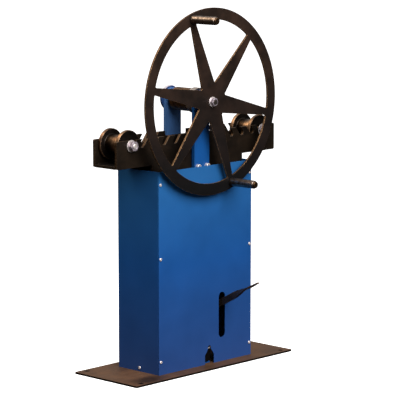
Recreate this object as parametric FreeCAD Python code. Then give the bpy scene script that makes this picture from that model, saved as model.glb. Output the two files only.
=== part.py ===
import FreeCAD, Part
import math
import os

# Ring roller on a pedestal. A handwheel turns the top roller, which is fixed in height.
# A foot pump lifts the notched carriage, whose two spool rollers push the work up and bend it.
# Millimetres. The origin is under the tower's middle, on the base plate's underside.
# +Z is up, the front is -Y.

V = FreeCAD.Vector

# Clearances
RUN = 0.05             # radial, shaft in bush
SEAT = 0.35            # between pieces that rest loosely or pass each other
SLIDE = 0.3            # between the carriage and what guides it

# Base plate
BASE_LENGTH = 745.0
BASE_DEPTH = 290.0
BASE_THICK = 6.35
BASE_CORNER = 6.0
ANCHOR_DIA = 14.0
ANCHOR_INSET_X = 38.5
ANCHOR_INSET_Y = 20.0
TOWER_FORWARD = 3.3      # from the middle of the base plate to the middle of the tower

# Case of folded sheet, with a flat front cover
SHEET = 2.0
CASE_WIDTH = 439.0
CASE_HEIGHT = 664.5
CASE_SPACE_FRONT = 18.2  # between the front post and the cover
CASE_SPACE_BACK = 28.8   # between the rear post and the back of the case
CASE_BEND = 4.0
CASE_FLANGE = 20.0
CASE_BACK_HEM = 10.0
CASE_HEM = 3.0
COVER_SCREW_INSET = 8.5
COVER_SCREW_LOW = 42.5
COVER_SCREW_MIDDLE = 380.5
COVER_SCREW_DROP = 42.0
SCREW_DIA = 5.0
SCREW_HEAD_DIA = 11.0
SCREW_HEAD_THICK = 3.2
SCREW_GRIP = 8.0
TAB_LENGTH = 40.0
TAB_LEG = 24.0
TAB_THICK = 3.0
TAB_SCREW_HEIGHT = 12.0

# Openings in the front cover
PEDAL_SLOT_X = 77.0
PEDAL_SLOT_WIDTH = 31.0
PEDAL_SLOT_BELOW = 14.5  # clear of the lever at the bottom of its stroke
PEDAL_SLOT_ABOVE = 22.0  # clear of the lever at rest
NOTCH_X = 17.5
NOTCH_WIDTH = 44.0
NOTCH_SHOULDER = 30.0
NOTCH_NECK_WIDTH = 15.0
NOTCH_NECK_START = 50.0
NOTCH_HEIGHT = 63.0

# Tower: two flat bars that carry the top roller
POST_WIDTH = 69.85
POST_THICK = 12.7
POST_GAP = 116.6
AXLE_RISE = 104.0      # shaft above the top of the carriage
HOUSING_DIA = 84.0
FRONT_HOUSING_THICK = 24.0
REAR_HOUSING_THICK = 10.5
BUSH_WALL = 4.0

# Top roller and its shaft
SHAFT_DIA = 31.75
SHAFT_TAIL = 4.0
TOP_ROLLER_DIA = 76.2
ROLLER_EDGE = 1.5
SPACER_DIA = 50.0
SPACER_LENGTH = 14.8
KEY_SIZE = 8.0
HUB_KEY_LENGTH = 26.0
HUB_KEY_START = 6.0
ROLLER_KEY_LENGTH = 50.0

# Handwheel, cut from plate
WHEEL_DIA = 610.0
WHEEL_THICK = 6.35
WHEEL_SPACE = 22.0     # between the case and the back of the wheel
RIM_WIDTH = 38.0
SPOKES = 6
SPOKE_TURN = 41.3
SPOKE_TIP_WIDTH = 23.0
STAR_RADIUS = 61.0
WINDOW_RADIUS = 4.0
HUB_DIA = 54.0
STUD_DIA = 15.9
STUD_TIP = 1.5
HUB_WASHER_DIA = 33.0
HUB_WASHER_THICK = 3.0
HUB_NUT_FLATS = 24.0
HUB_NUT_THICK = 11.0

# Crank grips on the rim
GRIP_SPOKES = (5, 2)
GRIP_DIA = 27.0
GRIP_LENGTH = 104.0
GRIP_ROUND = 3.0
GRIP_BOLT_DIA = 12.7
GRIP_HEAD_DIA = 22.0
GRIP_HEAD_THICK = 5.0
GRIP_NUT_FLATS = 19.0
GRIP_NUT_THICK = 8.0

# Carriage: two notched plates on a floor plate. The rollers' bolts lie in the outermost seats.
BEAM_LENGTH = 741.0
BEAM_PLATE = 9.5
BEAM_GAP = 19.15       # between the case and the arms
BEAM_ARM_DEPTH = 89.0
BEAM_CORNER = 5.0
LOBE_SPACE = 3.0
LOBE_DROP = 70.0
LOBE_CORNER = 16.0
RECESS_HALF_LENGTH = 52.0
RECESS_DEPTH = 16.0
RECESS_RADIUS = 5.0
SEAT_COUNT = 5
SEAT_END_SPACE = 62.5    # from the arm's end to the outermost seat
SEAT_PITCH = 50.0
SEAT_DEPTH = 18.0
SEAT_LEAN = 37.0
WEB_X = 120.0
WEB_THICK = 8.0
WEB_HEIGHT = 50.0

# Side rollers and the bolts that they turn on
SIDE_FLANGE_DIA = 100.0
SIDE_FLANGE_THICK = 12.0
SIDE_HUB_DIA = 62.0
SIDE_FILLET = 3.0
SIDE_BUSH_WALL = 4.0
SIDE_BUSH_LENGTH = 30.0
AXLE_BOLT_DIA = 19.05
AXLE_FLATS = 28.6
AXLE_HEAD_THICK = 12.0
AXLE_NUT_THICK = 16.0
AXLE_WASHER_DIA = 39.0
AXLE_WASHER_THICK = 3.4
AXLE_BOLT_TIP = 2.5

# Guide strips on the posts
GIB_THICK = 3.0
GIB_WIDTH = 64.0
GIB_LENGTH = 110.0
GIB_TOP_DROP = 18.0
GIB_BOLT_SPREAD = 21.0
GIB_BOLT_RISE = 33.0
GIB_BOLT_DIA = 12.0
GIB_BOLT_HEAD_DIA = 18.0
GIB_BOLT_HEAD = 11.0
GIB_SOCKET_FLATS = 10.0
GIB_SOCKET_DEPTH = 6.5

# Lift column between the jack and the carriage
COLUMN_SIZE = 60.0
COLUMN_WALL = 5.0
COLUMN_RADIUS = 6.0
PAD_SIZE = 72.0
PAD_THICK = 10.0
GUIDE_HEIGHT = 415.0
GUIDE_THICK = 10.0
GUIDE_MARGIN = 20.0

# Bottle jack, standing on the base plate
JACK_SPACE = 3.5       # between the posts and the jack's flange
JACK_STEP = 5.5
JACK_FLANGE_THICK = 9.0
JACK_FLANGE_LEFT = 64.0
JACK_FLANGE_RIGHT = 122.0
JACK_FLANGE_CORNER = 12.0
JACK_BLOCK_HEIGHT = 70.0
PUMP_BOSS_HEIGHT = 50.0
PUMP_BOSS_DIA = 46.0
RESERVOIR_DIA = 82.0
RESERVOIR_WALL = 3.0
RESERVOIR_LENGTH = 152.0
CYLINDER_DIA = 52.0
RAM_DIA = 38.0
RAM_BOTTOM = 24.0
GLAND_DIA = 88.0
GLAND_THICK = 20.0
GLAND_NECK = 6.0
GLAND_GROOVES = 6
SADDLE_DIA = 50.0
SADDLE_LIFT = 12.0
SADDLE_THICK = 14.0
JACK_BOLT_INSET = 12.0
JACK_BOLT_DIA = 10.0
JACK_BOLT_FLATS = 17.0
JACK_BOLT_HEAD = 7.0
PLUG_HEIGHT = 120.0
PLUG_DIA = 10.0
PLUG_HEAD_DIA = 15.0
PLUG_HEAD_THICK = 4.0

# Foot pump
PUMP_X = PEDAL_SLOT_X
BARREL_DIA = 30.0
BARREL_LENGTH = 28.0
PLUNGER_DIA = 16.0
PLUNGER_BOTTOM = 52.0
PLUNGER_WELL = 16.0
DOME_RADIUS = 12.0
CAP_DIA = 42.0
CAP_THICK = 3.0
CAP_DROP = 11.0
SPRING_DIA = 40.0
SPRING_WIRE = 3.5
SPRING_TURNS = 7
SPRING_POINT_COUNT = 24      # points a turn, where the gap between turns is measured

# Pedal lever and its bracket
PIVOT_Y = 41.5
PIVOT_HEIGHT = 138.1
PEDAL_ANGLE = 27.8     # above level at rest
PEDAL_STROKE = 38.0
LEVER_THICK = 10.0
LEVER_DEPTH = 22.0
LEVER_STRAIGHT = 197.0
LEVER_TWIST_LENGTH = 86.0
TWIST_STEP_COUNT = 8
TOE_LENGTH = 50.0
TOE_THICK = 5.0
TOE_PARALLEL = 12.0
TOE_NOSE_RADIUS = 6.0
LEVER_BOSS_DIA = 30.0
LEVER_BOSS_LENGTH = 16.0
PIVOT_PIN_DIA = 12.0
PIVOT_PIN_HEAD_DIA = 18.0
PIVOT_PIN_HEAD = 3.0
EAR_THICK = 6.0
EAR_WIDTH = 26.0
EAR_FOOT_THICK = 6.0

# Release valve with its toe lever
VALVE_X = NOTCH_X
VALVE_DROP = 10.35     # below the top of the jack's block
VALVE_DIA = 10.0
VALVE_DEPTH = 22.0
VALVE_LEVER_GAP = 6.5
TOE_LEVER_THICK = 5.0
TOE_LEVER_HUB_DIA = 22.0
TOE_LEVER_LENGTH = 50.0
TOE_LEVER_FOOT = 26.0
TOE_LEVER_NECK = 14.0
VALVE_NUT_FLATS = 15.0
VALVE_NUT_THICK = 5.0

# Places worked out from the sizes
post_in = POST_GAP / 2
post_out = post_in + POST_THICK
case_x = CASE_WIDTH / 2
case_y = post_out + CASE_SPACE_FRONT
case_back = post_out + CASE_SPACE_BACK
case_top = BASE_THICK + CASE_HEIGHT
beam_out = post_in - GIB_THICK - SLIDE
beam_in = beam_out - BEAM_PLATE
arm_under = case_top + BEAM_GAP
beam_top = arm_under + BEAM_ARM_DEPTH
lobe_x = case_x - SHEET - CASE_HEM - LOBE_SPACE
seat_z = beam_top - SEAT_DEPTH
seats = [BEAM_LENGTH / 2 - SEAT_END_SPACE - k * SEAT_PITCH for k in range(SEAT_COUNT)]
seat_used_x = seats[0]
gib_top = beam_top - RECESS_DEPTH - GIB_TOP_DROP
gib_low = gib_top - GIB_LENGTH
gib_bolt_z = gib_low + GIB_BOLT_RISE
axle_z = beam_top + AXLE_RISE
wheel_back = case_y + WHEEL_SPACE
wheel_front = wheel_back + WHEEL_THICK
grip_radius = (WHEEL_DIA - RIM_WIDTH) / 2
roller_front = -post_in + FRONT_HOUSING_THICK + SLIDE
roller_back = post_in - SLIDE - SPACER_LENGTH
jack_half_depth = post_in - JACK_SPACE
block_dia = 2 * (jack_half_depth - JACK_STEP)
jack_top = BASE_THICK + JACK_BLOCK_HEIGHT
pump_top = BASE_THICK + PUMP_BOSS_HEIGHT
gland_z = jack_top + RESERVOIR_LENGTH
saddle_z = gland_z + GLAND_THICK + SADDLE_LIFT
pad_z = saddle_z + SADDLE_THICK
valve_z = jack_top - VALVE_DROP
valve_back = -block_dia / 2 + VALVE_DEPTH
toe_lever_front = -case_y + SHEET + VALVE_LEVER_GAP

pieces = {}


# Shapes along the three axes

def box(x0, x1, y0, y1, z0, z1):
    return Part.makeBox(x1 - x0, y1 - y0, z1 - z0, V(x0, y0, z0))


def rod_x(dia, x0, x1, y=0.0, z=0.0):
    return Part.makeCylinder(dia / 2, x1 - x0, V(x0, y, z), V(1, 0, 0))


def rod_y(dia, y0, y1, x=0.0, z=0.0):
    return Part.makeCylinder(dia / 2, y1 - y0, V(x, y0, z), V(0, 1, 0))


def rod_z(dia, z0, z1, x=0.0, y=0.0):
    return Part.makeCylinder(dia / 2, z1 - z0, V(x, y, z0))


def hexagon(flats, thick, at, along):
    """Six-sided prism of the given width across flats, from at, in the direction along."""
    prism = Part.Face(Part.makePolygon(hexagon_points(flats))).extrude(V(0, 0, thick))
    prism.Placement = FreeCAD.Placement(at, FreeCAD.Rotation(V(0, 0, 1), along))
    return prism


def hexagon_points(flats):
    radius = flats / math.sqrt(3)
    corners = [math.radians(60 * k) for k in range(7)]
    return [V(radius * math.cos(a), radius * math.sin(a), 0) for a in corners]


def plate(points, y0, y1):
    """Flat plate from y0 to y1, with an outline of (x, z) points."""
    outline = [V(x, y0, z) for x, z in points]
    return Part.Face(Part.makePolygon(outline + outline[:1])).extrude(V(0, y1 - y0, 0))


def round_edges(solid, radius, chosen):
    edges = [edge for edge in solid.Edges if chosen(edge)]
    return solid.makeFillet(radius, edges)


def lies_along(edge, axis):
    """True for a straight edge along the axis."""
    return edge.Curve.TypeId == "Part::GeomLine" and abs(edge.Curve.Direction.dot(axis)) > 0.999


def group(solids):
    return Part.makeCompound(solids)


def mirror_x(shape):
    return shape.mirror(V(0, 0, 0), V(1, 0, 0))


def mirror_y(shape):
    return shape.mirror(V(0, 0, 0), V(0, 1, 0))


# Base plate

def base_plate():
    x = BASE_LENGTH / 2
    y = BASE_DEPTH / 2
    body = box(-x, x, -y, y, 0, BASE_THICK)
    body = round_edges(body, BASE_CORNER, lambda e: lies_along(e, V(0, 0, 1)))
    hole_x = x - ANCHOR_INSET_X
    hole_y = y - ANCHOR_INSET_Y
    corners = [(sx * hole_x, sy * hole_y) for sx in (-1, 1) for sy in (-1, 1)]
    body = body.cut([rod_z(ANCHOR_DIA, -1, BASE_THICK + 1, px, py) for px, py in corners])
    body.translate(V(0, TOWER_FORWARD, 0))
    return body


pieces["base_plate"] = base_plate()


# Tower

def post():
    """Rear post: a flat bar with a round head about the shaft."""
    bar = box(-POST_WIDTH / 2, POST_WIDTH / 2, post_in, post_out, BASE_THICK, axle_z)
    bar = bar.fuse(rod_y(POST_WIDTH, post_in, post_out, 0, axle_z)).removeSplitter()
    cuts = [rod_y(bush_dia, post_in - 1, post_out + 1, 0, axle_z)]
    for x in (-GIB_BOLT_SPREAD, GIB_BOLT_SPREAD):
        cuts.append(rod_y(GIB_BOLT_DIA + 2 * RUN, post_in - 1, post_out + 1, x, gib_bolt_z))
    return bar.cut(cuts)


def bush(y0, y1):
    ring = rod_y(bush_dia, y0, y1, 0, axle_z)
    return ring.cut(rod_y(SHAFT_DIA + 2 * RUN, y0 - 1, y1 + 1, 0, axle_z))


def housing(y0, y1):
    ring = rod_y(HOUSING_DIA, y0, y1, 0, axle_z)
    ring = ring.cut(rod_y(bush_dia, y0 - 1, y1 + 1, 0, axle_z))
    rims = [e for e in ring.Edges if abs(e.Length - math.pi * HOUSING_DIA) < 0.01]
    return ring.makeChamfer(ROLLER_EDGE, rims)


bush_dia = SHAFT_DIA + 2 * (RUN + BUSH_WALL)
valve_hole = rod_y(VALVE_DIA + 6, -post_out - 1, -post_in + 1, VALVE_X, valve_z)
front_housing_back = -post_in + FRONT_HOUSING_THICK
rear_housing_back = post_out + REAR_HOUSING_THICK
pieces["front_post"] = mirror_y(post()).cut(valve_hole)
pieces["rear_post"] = post()
pieces["front_bearing_housing"] = housing(-post_in, front_housing_back)
pieces["rear_bearing_housing"] = housing(post_out, rear_housing_back)
pieces["shaft_bushes"] = group([bush(-post_out, front_housing_back), bush(post_in, rear_housing_back)])


def column_guide():
    """Plate welded between the posts, with a square hole that keeps the lift column upright."""
    reach = COLUMN_SIZE / 2 + GUIDE_MARGIN
    opening = COLUMN_SIZE / 2 + SLIDE
    top = GUIDE_HEIGHT + GUIDE_THICK
    body = box(-reach, reach, -post_in, post_in, GUIDE_HEIGHT, top)
    hole = box(-opening, opening, -opening, opening, GUIDE_HEIGHT - 1, top + 1)
    hole = round_edges(hole, COLUMN_RADIUS, lambda e: lies_along(e, V(0, 0, 1)))
    return body.cut(hole)


pieces["column_guide"] = column_guide()


def gib():
    """Wear strip that fills the space between a post and the carriage."""
    body = box(-GIB_WIDTH / 2, GIB_WIDTH / 2, post_in - GIB_THICK, post_in, gib_low, gib_top)
    holes = [rod_y(GIB_BOLT_DIA + 2 * RUN, beam_out, post_in + 1, x, gib_bolt_z)
             for x in (-GIB_BOLT_SPREAD, GIB_BOLT_SPREAD)]
    return body.cut(holes)


def gib_bolt(x):
    """Socket head screw through the rear post and its guide strip."""
    inner_end = beam_out + 2 * SLIDE
    head_end = post_out + GIB_BOLT_HEAD
    shank = rod_y(GIB_BOLT_DIA, inner_end, post_out, x, gib_bolt_z)
    head = rod_y(GIB_BOLT_HEAD_DIA, post_out, head_end, x, gib_bolt_z)
    socket_at = V(x, head_end - GIB_SOCKET_DEPTH, gib_bolt_z)
    socket = hexagon(GIB_SOCKET_FLATS, GIB_SOCKET_DEPTH + 1, socket_at, V(0, 1, 0))
    return shank.fuse(head).cut(socket)


rear_gib_bolts = [gib_bolt(x) for x in (-GIB_BOLT_SPREAD, GIB_BOLT_SPREAD)]
pieces["gib_strips"] = group([gib(), mirror_y(gib())])
pieces["gib_bolts"] = group(rear_gib_bolts + [mirror_y(bolt) for bolt in rear_gib_bolts])


# Case

def case_shell():
    """Sheet folded round the back and sides, with flanges that the cover is screwed to."""
    outer = box(-case_x, case_x, -case_y + SHEET, case_back, BASE_THICK, case_top)
    outer = round_edges(outer, CASE_BEND, lambda e: lies_along(e, V(0, 0, 1)))
    inner = box(-case_x + SHEET, case_x - SHEET, -case_y + 2 * SHEET, case_back - SHEET, 0, case_top + 1)
    inner = round_edges(inner, CASE_BEND - SHEET, lambda e: lies_along(e, V(0, 0, 1)))
    shell = outer.cut(inner)
    mouth = case_x - SHEET - CASE_FLANGE
    shell = shell.cut(box(-mouth, mouth, -case_y, -case_y + 3 * SHEET, 0, case_top + 1))
    hem_low = case_top - SHEET
    back_hem = box(-case_x + CASE_BEND, case_x - CASE_BEND, case_back - SHEET - CASE_BACK_HEM,
                   case_back - SHEET, hem_low, case_top)
    side_hem = box(case_x - SHEET - CASE_HEM, case_x - SHEET, -case_y + 2 * SHEET + CASE_BEND,
                   case_back - SHEET, hem_low, case_top)
    shell = shell.fuse([back_hem, side_hem, mirror_x(side_hem)]).removeSplitter()
    holes = [rod_y(SCREW_DIA + 2 * RUN, -case_y, -case_y + 3 * SHEET, x, z) for x, z in cover_screws]
    holes.append(rod_x(SCREW_DIA + 2 * RUN, -case_x - 1, case_x + 1, 0, tab_screw_z))
    holes.append(rod_y(SCREW_DIA + 2 * RUN, case_back - 2 * SHEET, case_back + 1, 0, tab_screw_z))
    return shell.cut(holes)


def lever_height(angle):
    """Height of the lever's centre line where it passes through the cover, at an angle above level."""
    return PIVOT_HEIGHT + (case_y + PIVOT_Y) * math.tan(math.radians(angle))


def pedal_slot(depth_low, depth_high):
    """Upright slot with round ends, as long as the lever's stroke needs."""
    radius = PEDAL_SLOT_WIDTH / 2
    half_lever = LEVER_DEPTH / 2 / math.cos(math.radians(PEDAL_ANGLE))
    low = lever_height(PEDAL_ANGLE - PEDAL_STROKE) - half_lever - PEDAL_SLOT_BELOW + radius
    high = lever_height(PEDAL_ANGLE) + half_lever + PEDAL_SLOT_ABOVE - radius
    straight = box(PEDAL_SLOT_X - radius, PEDAL_SLOT_X + radius, depth_low, depth_high, low, high)
    ends = [rod_y(PEDAL_SLOT_WIDTH, depth_low, depth_high, PEDAL_SLOT_X, z) for z in (low, high)]
    return straight.fuse(ends)


def toe_notch(depth_low, depth_high):
    """Keyhole at the cover's foot: a wide mouth, sloping shoulders and a narrow round head."""
    foot = NOTCH_WIDTH / 2
    neck = NOTCH_NECK_WIDTH / 2
    head_z = BASE_THICK + NOTCH_HEIGHT - neck
    right = [(foot, 0), (foot, BASE_THICK + NOTCH_SHOULDER), (neck, BASE_THICK + NOTCH_NECK_START),
             (neck, head_z)]
    left = [(-x, z) for x, z in reversed(right)]
    outline = [(NOTCH_X + x, z) for x, z in right + left]
    mouth = plate(outline, depth_low, depth_high)
    return mouth.fuse(rod_y(NOTCH_NECK_WIDTH, depth_low, depth_high, NOTCH_X, head_z))


def front_cover():
    front = -case_y
    back = -case_y + SHEET
    panel = box(-case_x, case_x, front, back, BASE_THICK, case_top)
    cuts = [pedal_slot(front - 1, back + 1), toe_notch(front - 1, back + 1)]
    cuts += [rod_y(SCREW_DIA + 2 * RUN, front - 1, back + 1, x, z) for x, z in cover_screws]
    return panel.cut(cuts)


def pan_screw(at, inward):
    """Pan head screw whose head sits on the surface at the point given."""
    shank = Part.makeCylinder(SCREW_DIA / 2, SCREW_GRIP, at, inward)
    head = Part.makeCylinder(SCREW_HEAD_DIA / 2, SCREW_HEAD_THICK, at, inward * -1)
    rim = [e for e in head.Edges if abs(e.Length - math.pi * SCREW_HEAD_DIA) < 0.01]
    far = max(rim, key=lambda e: (e.CenterOfMass - at).Length)
    head = head.makeFillet(SCREW_HEAD_THICK * 0.6, [far])
    return head.fuse(shank)


def case_tab():
    """Angle on the base plate that a side wall is screwed to."""
    wall = case_x - SHEET
    upright = box(wall - TAB_THICK, wall, -TAB_LENGTH / 2, TAB_LENGTH / 2, BASE_THICK, BASE_THICK + TAB_LEG)
    foot = box(wall - TAB_LEG, wall, -TAB_LENGTH / 2, TAB_LENGTH / 2, BASE_THICK, BASE_THICK + TAB_THICK)
    hole = rod_x(SCREW_DIA + 2 * RUN, wall - TAB_LEG, wall + 1, 0, BASE_THICK + TAB_SCREW_HEIGHT)
    return upright.fuse(foot).removeSplitter().cut(hole)


def back_tab():
    wall = case_back - SHEET
    upright = box(-TAB_LENGTH / 2, TAB_LENGTH / 2, wall - TAB_THICK, wall, BASE_THICK, BASE_THICK + TAB_LEG)
    foot_in = max(wall - TAB_LEG, post_out + SEAT)
    foot = box(-TAB_LENGTH / 2, TAB_LENGTH / 2, foot_in, wall, BASE_THICK, BASE_THICK + TAB_THICK)
    hole = rod_y(SCREW_DIA + 2 * RUN, foot_in, wall + 1, 0, BASE_THICK + TAB_SCREW_HEIGHT)
    return upright.fuse(foot).removeSplitter().cut(hole)


screw_x = case_x - COVER_SCREW_INSET
screw_heights = (BASE_THICK + COVER_SCREW_LOW, BASE_THICK + COVER_SCREW_MIDDLE, case_top - COVER_SCREW_DROP)
cover_screws = [(sx * screw_x, z) for sx in (-1, 1) for z in screw_heights]
tab_screw_z = BASE_THICK + TAB_SCREW_HEIGHT
pieces["case_shell"] = case_shell()
pieces["front_cover"] = front_cover()
pieces["cover_screws"] = group([pan_screw(V(x, -case_y, z), V(0, 1, 0)) for x, z in cover_screws])
pieces["case_tabs"] = group([case_tab(), mirror_x(case_tab()), back_tab()])
pieces["tab_screws"] = group([pan_screw(V(case_x, 0, tab_screw_z), V(-1, 0, 0)),
                              pan_screw(V(-case_x, 0, tab_screw_z), V(1, 0, 0)),
                              pan_screw(V(0, case_back, tab_screw_z), V(0, -1, 0))])


# Carriage

def axle_seat(x, y0, y1):
    """Slot for a roller bolt: round at the bottom, leaning so that its mouth is nearer the centre."""
    width = AXLE_BOLT_DIA + 2 * SEAT
    lean = math.copysign(SEAT_LEAN, -x)
    reach = 2 * SEAT_DEPTH
    slot = box(x - width / 2, x + width / 2, y0, y1, seat_z, seat_z + reach)
    slot.rotate(V(x, 0, seat_z), V(0, 1, 0), lean)
    return slot.fuse(rod_y(width, y0, y1, x, seat_z))


def beam_plate():
    """Rear plate of the carriage: two arms, a deep middle, a recess and two rows of axle seats."""
    end = BEAM_LENGTH / 2
    lobe_low = arm_under - LOBE_DROP
    y0 = beam_in
    y1 = beam_out
    arms = box(-end, end, y0, y1, arm_under, beam_top)
    arms = round_edges(arms, BEAM_CORNER, lambda e: lies_along(e, V(0, 1, 0)))
    lobe = box(-lobe_x, lobe_x, y0, y1, lobe_low, beam_top - 2 * RECESS_DEPTH)
    lobe = round_edges(lobe, LOBE_CORNER, lambda e: lies_along(e, V(0, 1, 0)) and e.CenterOfMass.z < arm_under)
    recess_low = beam_top - RECESS_DEPTH
    recess = box(-RECESS_HALF_LENGTH, RECESS_HALF_LENGTH, y0 - 1, y1 + 1, recess_low, beam_top + 1)
    recess = round_edges(recess, RECESS_RADIUS,
                         lambda e: lies_along(e, V(0, 1, 0)) and e.CenterOfMass.z < beam_top)
    slots = [axle_seat(side * x, y0 - 1, y1 + 1) for x in seats for side in (-1, 1)]
    return arms.fuse(lobe).removeSplitter().cut([recess] + slots)


def web(x):
    top = arm_under
    return box(x - WEB_THICK / 2, x + WEB_THICK / 2, -beam_in, beam_in, top - WEB_HEIGHT, top)


pieces["beam_rear_plate"] = beam_plate()
pieces["beam_front_plate"] = mirror_y(beam_plate())
pieces["beam_floor"] = box(-BEAM_LENGTH / 2, BEAM_LENGTH / 2, -beam_in, beam_in,
                           arm_under, arm_under + BEAM_PLATE)
pieces["beam_webs"] = group([web(-WEB_X), web(WEB_X)])


def lift_column():
    """Square tube that carries the carriage on the jack."""
    half = COLUMN_SIZE / 2
    hollow = half - COLUMN_WALL
    low = pad_z + PAD_THICK
    outer = box(-half, half, -half, half, low, arm_under)
    outer = round_edges(outer, COLUMN_RADIUS, lambda e: lies_along(e, V(0, 0, 1)))
    inner = box(-hollow, hollow, -hollow, hollow, low - 1, arm_under + 1)
    inner = round_edges(inner, max(COLUMN_RADIUS - COLUMN_WALL, 0.5), lambda e: lies_along(e, V(0, 0, 1)))
    return outer.cut(inner)


pieces["lift_column"] = lift_column()
pieces["column_pad"] = box(-PAD_SIZE / 2, PAD_SIZE / 2, -PAD_SIZE / 2, PAD_SIZE / 2, pad_z, pad_z + PAD_THICK)


# Side rollers

def spool(x):
    """Flanged roller between the carriage plates, turned from bar and bored for two bushes."""
    half = beam_in - SEAT
    hub_half = half - SIDE_FLANGE_THICK
    body = rod_y(SIDE_HUB_DIA, -half, half, x, seat_z)
    for y0, y1 in ((-half, -hub_half), (hub_half, half)):
        flange = rod_y(SIDE_FLANGE_DIA, y0, y1, x, seat_z)
        rims = [e for e in flange.Edges if abs(e.Length - math.pi * SIDE_FLANGE_DIA) < 0.01]
        body = body.fuse(flange.makeChamfer(ROLLER_EDGE, rims))
    bore = AXLE_BOLT_DIA + 2 * (RUN + SIDE_BUSH_WALL)
    body = body.cut(rod_y(bore, -half - 1, half + 1, x, seat_z)).removeSplitter()
    inner_rims = [e for e in body.Edges
                  if abs(e.Length - math.pi * SIDE_HUB_DIA) < 0.01 and abs(e.CenterOfMass.y) < half - 1]
    return body.makeFillet(SIDE_FILLET, inner_rims)


def spool_bushes(x):
    half = beam_in - SEAT
    outer = AXLE_BOLT_DIA + 2 * (RUN + SIDE_BUSH_WALL)
    inner = AXLE_BOLT_DIA + 2 * RUN
    rings = []
    for y0, y1 in ((-half, -half + SIDE_BUSH_LENGTH), (half - SIDE_BUSH_LENGTH, half)):
        ring = rod_y(outer, y0, y1, x, seat_z)
        rings.append(ring.cut(rod_y(inner, y0 - 1, y1 + 1, x, seat_z)))
    return group(rings)


def axle_bolt(x):
    """Bolt through both plates, with its head at the back and its nut in front."""
    back = beam_out + AXLE_WASHER_THICK
    front = -back - AXLE_NUT_THICK - AXLE_BOLT_TIP
    shank = rod_y(AXLE_BOLT_DIA, front, back, x, seat_z)
    return shank.fuse(hexagon(AXLE_FLATS, AXLE_HEAD_THICK, V(x, back, seat_z), V(0, 1, 0)))


def axle_washer(x, y0):
    ring = rod_y(AXLE_WASHER_DIA, y0, y0 + AXLE_WASHER_THICK, x, seat_z)
    return ring.cut(rod_y(AXLE_BOLT_DIA + 2 * RUN, y0 - 1, y0 + AXLE_WASHER_THICK + 1, x, seat_z))


def axle_nut(x):
    start = -beam_out - AXLE_WASHER_THICK
    nut = hexagon(AXLE_FLATS, AXLE_NUT_THICK, V(x, start, seat_z), V(0, -1, 0))
    return nut.cut(rod_y(AXLE_BOLT_DIA + 2 * RUN, start - AXLE_NUT_THICK - 1, start + 1, x, seat_z))


sides = {"left": -seat_used_x, "right": seat_used_x}
for side, side_x in sides.items():
    pieces[side + "_roller"] = spool(side_x)
    pieces[side + "_roller_bushes"] = spool_bushes(side_x)
washer_fronts = (-beam_out - AXLE_WASHER_THICK, beam_out)
pieces["axle_bolts"] = group([axle_bolt(x) for x in sides.values()])
pieces["axle_washers"] = group([axle_washer(x, y) for x in sides.values() for y in washer_fronts])
pieces["axle_nuts"] = group([axle_nut(x) for x in sides.values()])


# Top roller, shaft and handwheel

def shaft_key(y0, y1):
    """Square key, half in the shaft and half in what it drives."""
    low = axle_z + SHAFT_DIA / 2 - KEY_SIZE / 2
    return box(-KEY_SIZE / 2, KEY_SIZE / 2, y0, y1, low, low + KEY_SIZE)


def shaft():
    journal = rod_y(SHAFT_DIA, -wheel_back, rear_housing_back + SHAFT_TAIL, 0, axle_z)
    stud_end = -wheel_front - HUB_WASHER_THICK - HUB_NUT_THICK - STUD_TIP
    stud = rod_y(STUD_DIA, stud_end, -wheel_back + 1, 0, axle_z)
    return journal.fuse(stud).cut([hub_key, roller_key])


def top_roller():
    body = rod_y(TOP_ROLLER_DIA, roller_front, roller_back, 0, axle_z)
    rims = [e for e in body.Edges if abs(e.Length - math.pi * TOP_ROLLER_DIA) < 0.01]
    body = body.makeChamfer(ROLLER_EDGE, rims)
    return body.cut([rod_y(SHAFT_DIA, roller_front - 1, roller_back + 1, 0, axle_z), roller_key])


def spoke_edge(angle, offset, radius):
    """Point at the radius given, offset sideways from a spoke's centre line at the angle given."""
    along = math.sqrt(radius ** 2 - offset ** 2)
    a = math.radians(angle)
    return V(along * math.sin(a) + offset * math.cos(a), 0, along * math.cos(a) - offset * math.sin(a))


def wheel_window(k):
    """Opening between two spokes: two straight spoke edges and an arc along the rim."""
    rim = WHEEL_DIA / 2 - RIM_WIDTH
    first = SPOKE_TURN + 360.0 / SPOKES * k
    second = first + 360.0 / SPOKES
    middle = math.radians((first + second) / 2)
    start = spoke_edge(first, SPOKE_TIP_WIDTH / 2, rim)
    finish = spoke_edge(second, -SPOKE_TIP_WIDTH / 2, rim)
    crown = V(rim * math.sin(middle), 0, rim * math.cos(middle))
    vertex = V(STAR_RADIUS * math.sin(middle), 0, STAR_RADIUS * math.cos(middle))
    edges = [Part.LineSegment(vertex, start).toShape(),
             Part.Arc(start, crown, finish).toShape(),
             Part.LineSegment(finish, vertex).toShape()]
    prism = Part.Face(Part.Wire(edges)).extrude(V(0, WHEEL_THICK + 2, 0))
    prism = round_edges(prism, WINDOW_RADIUS, lambda e: lies_along(e, V(0, 1, 0)))
    prism.translate(V(0, -wheel_front - 1, axle_z))
    return prism


def grip_place(spoke):
    a = math.radians(SPOKE_TURN + 360.0 / SPOKES * spoke)
    return grip_radius * math.sin(a), axle_z + grip_radius * math.cos(a)


def handwheel():
    disc = rod_y(WHEEL_DIA, -wheel_front, -wheel_back, 0, axle_z)
    cuts = [wheel_window(k) for k in range(SPOKES)]
    cuts.append(rod_y(STUD_DIA + 2 * RUN, -wheel_front - 1, -wheel_back + 1, 0, axle_z))
    for spoke in GRIP_SPOKES:
        x, z = grip_place(spoke)
        cuts.append(rod_y(GRIP_BOLT_DIA + 2 * RUN, -wheel_front - 1, -wheel_back + 1, x, z))
    return disc.cut(cuts)


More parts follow.
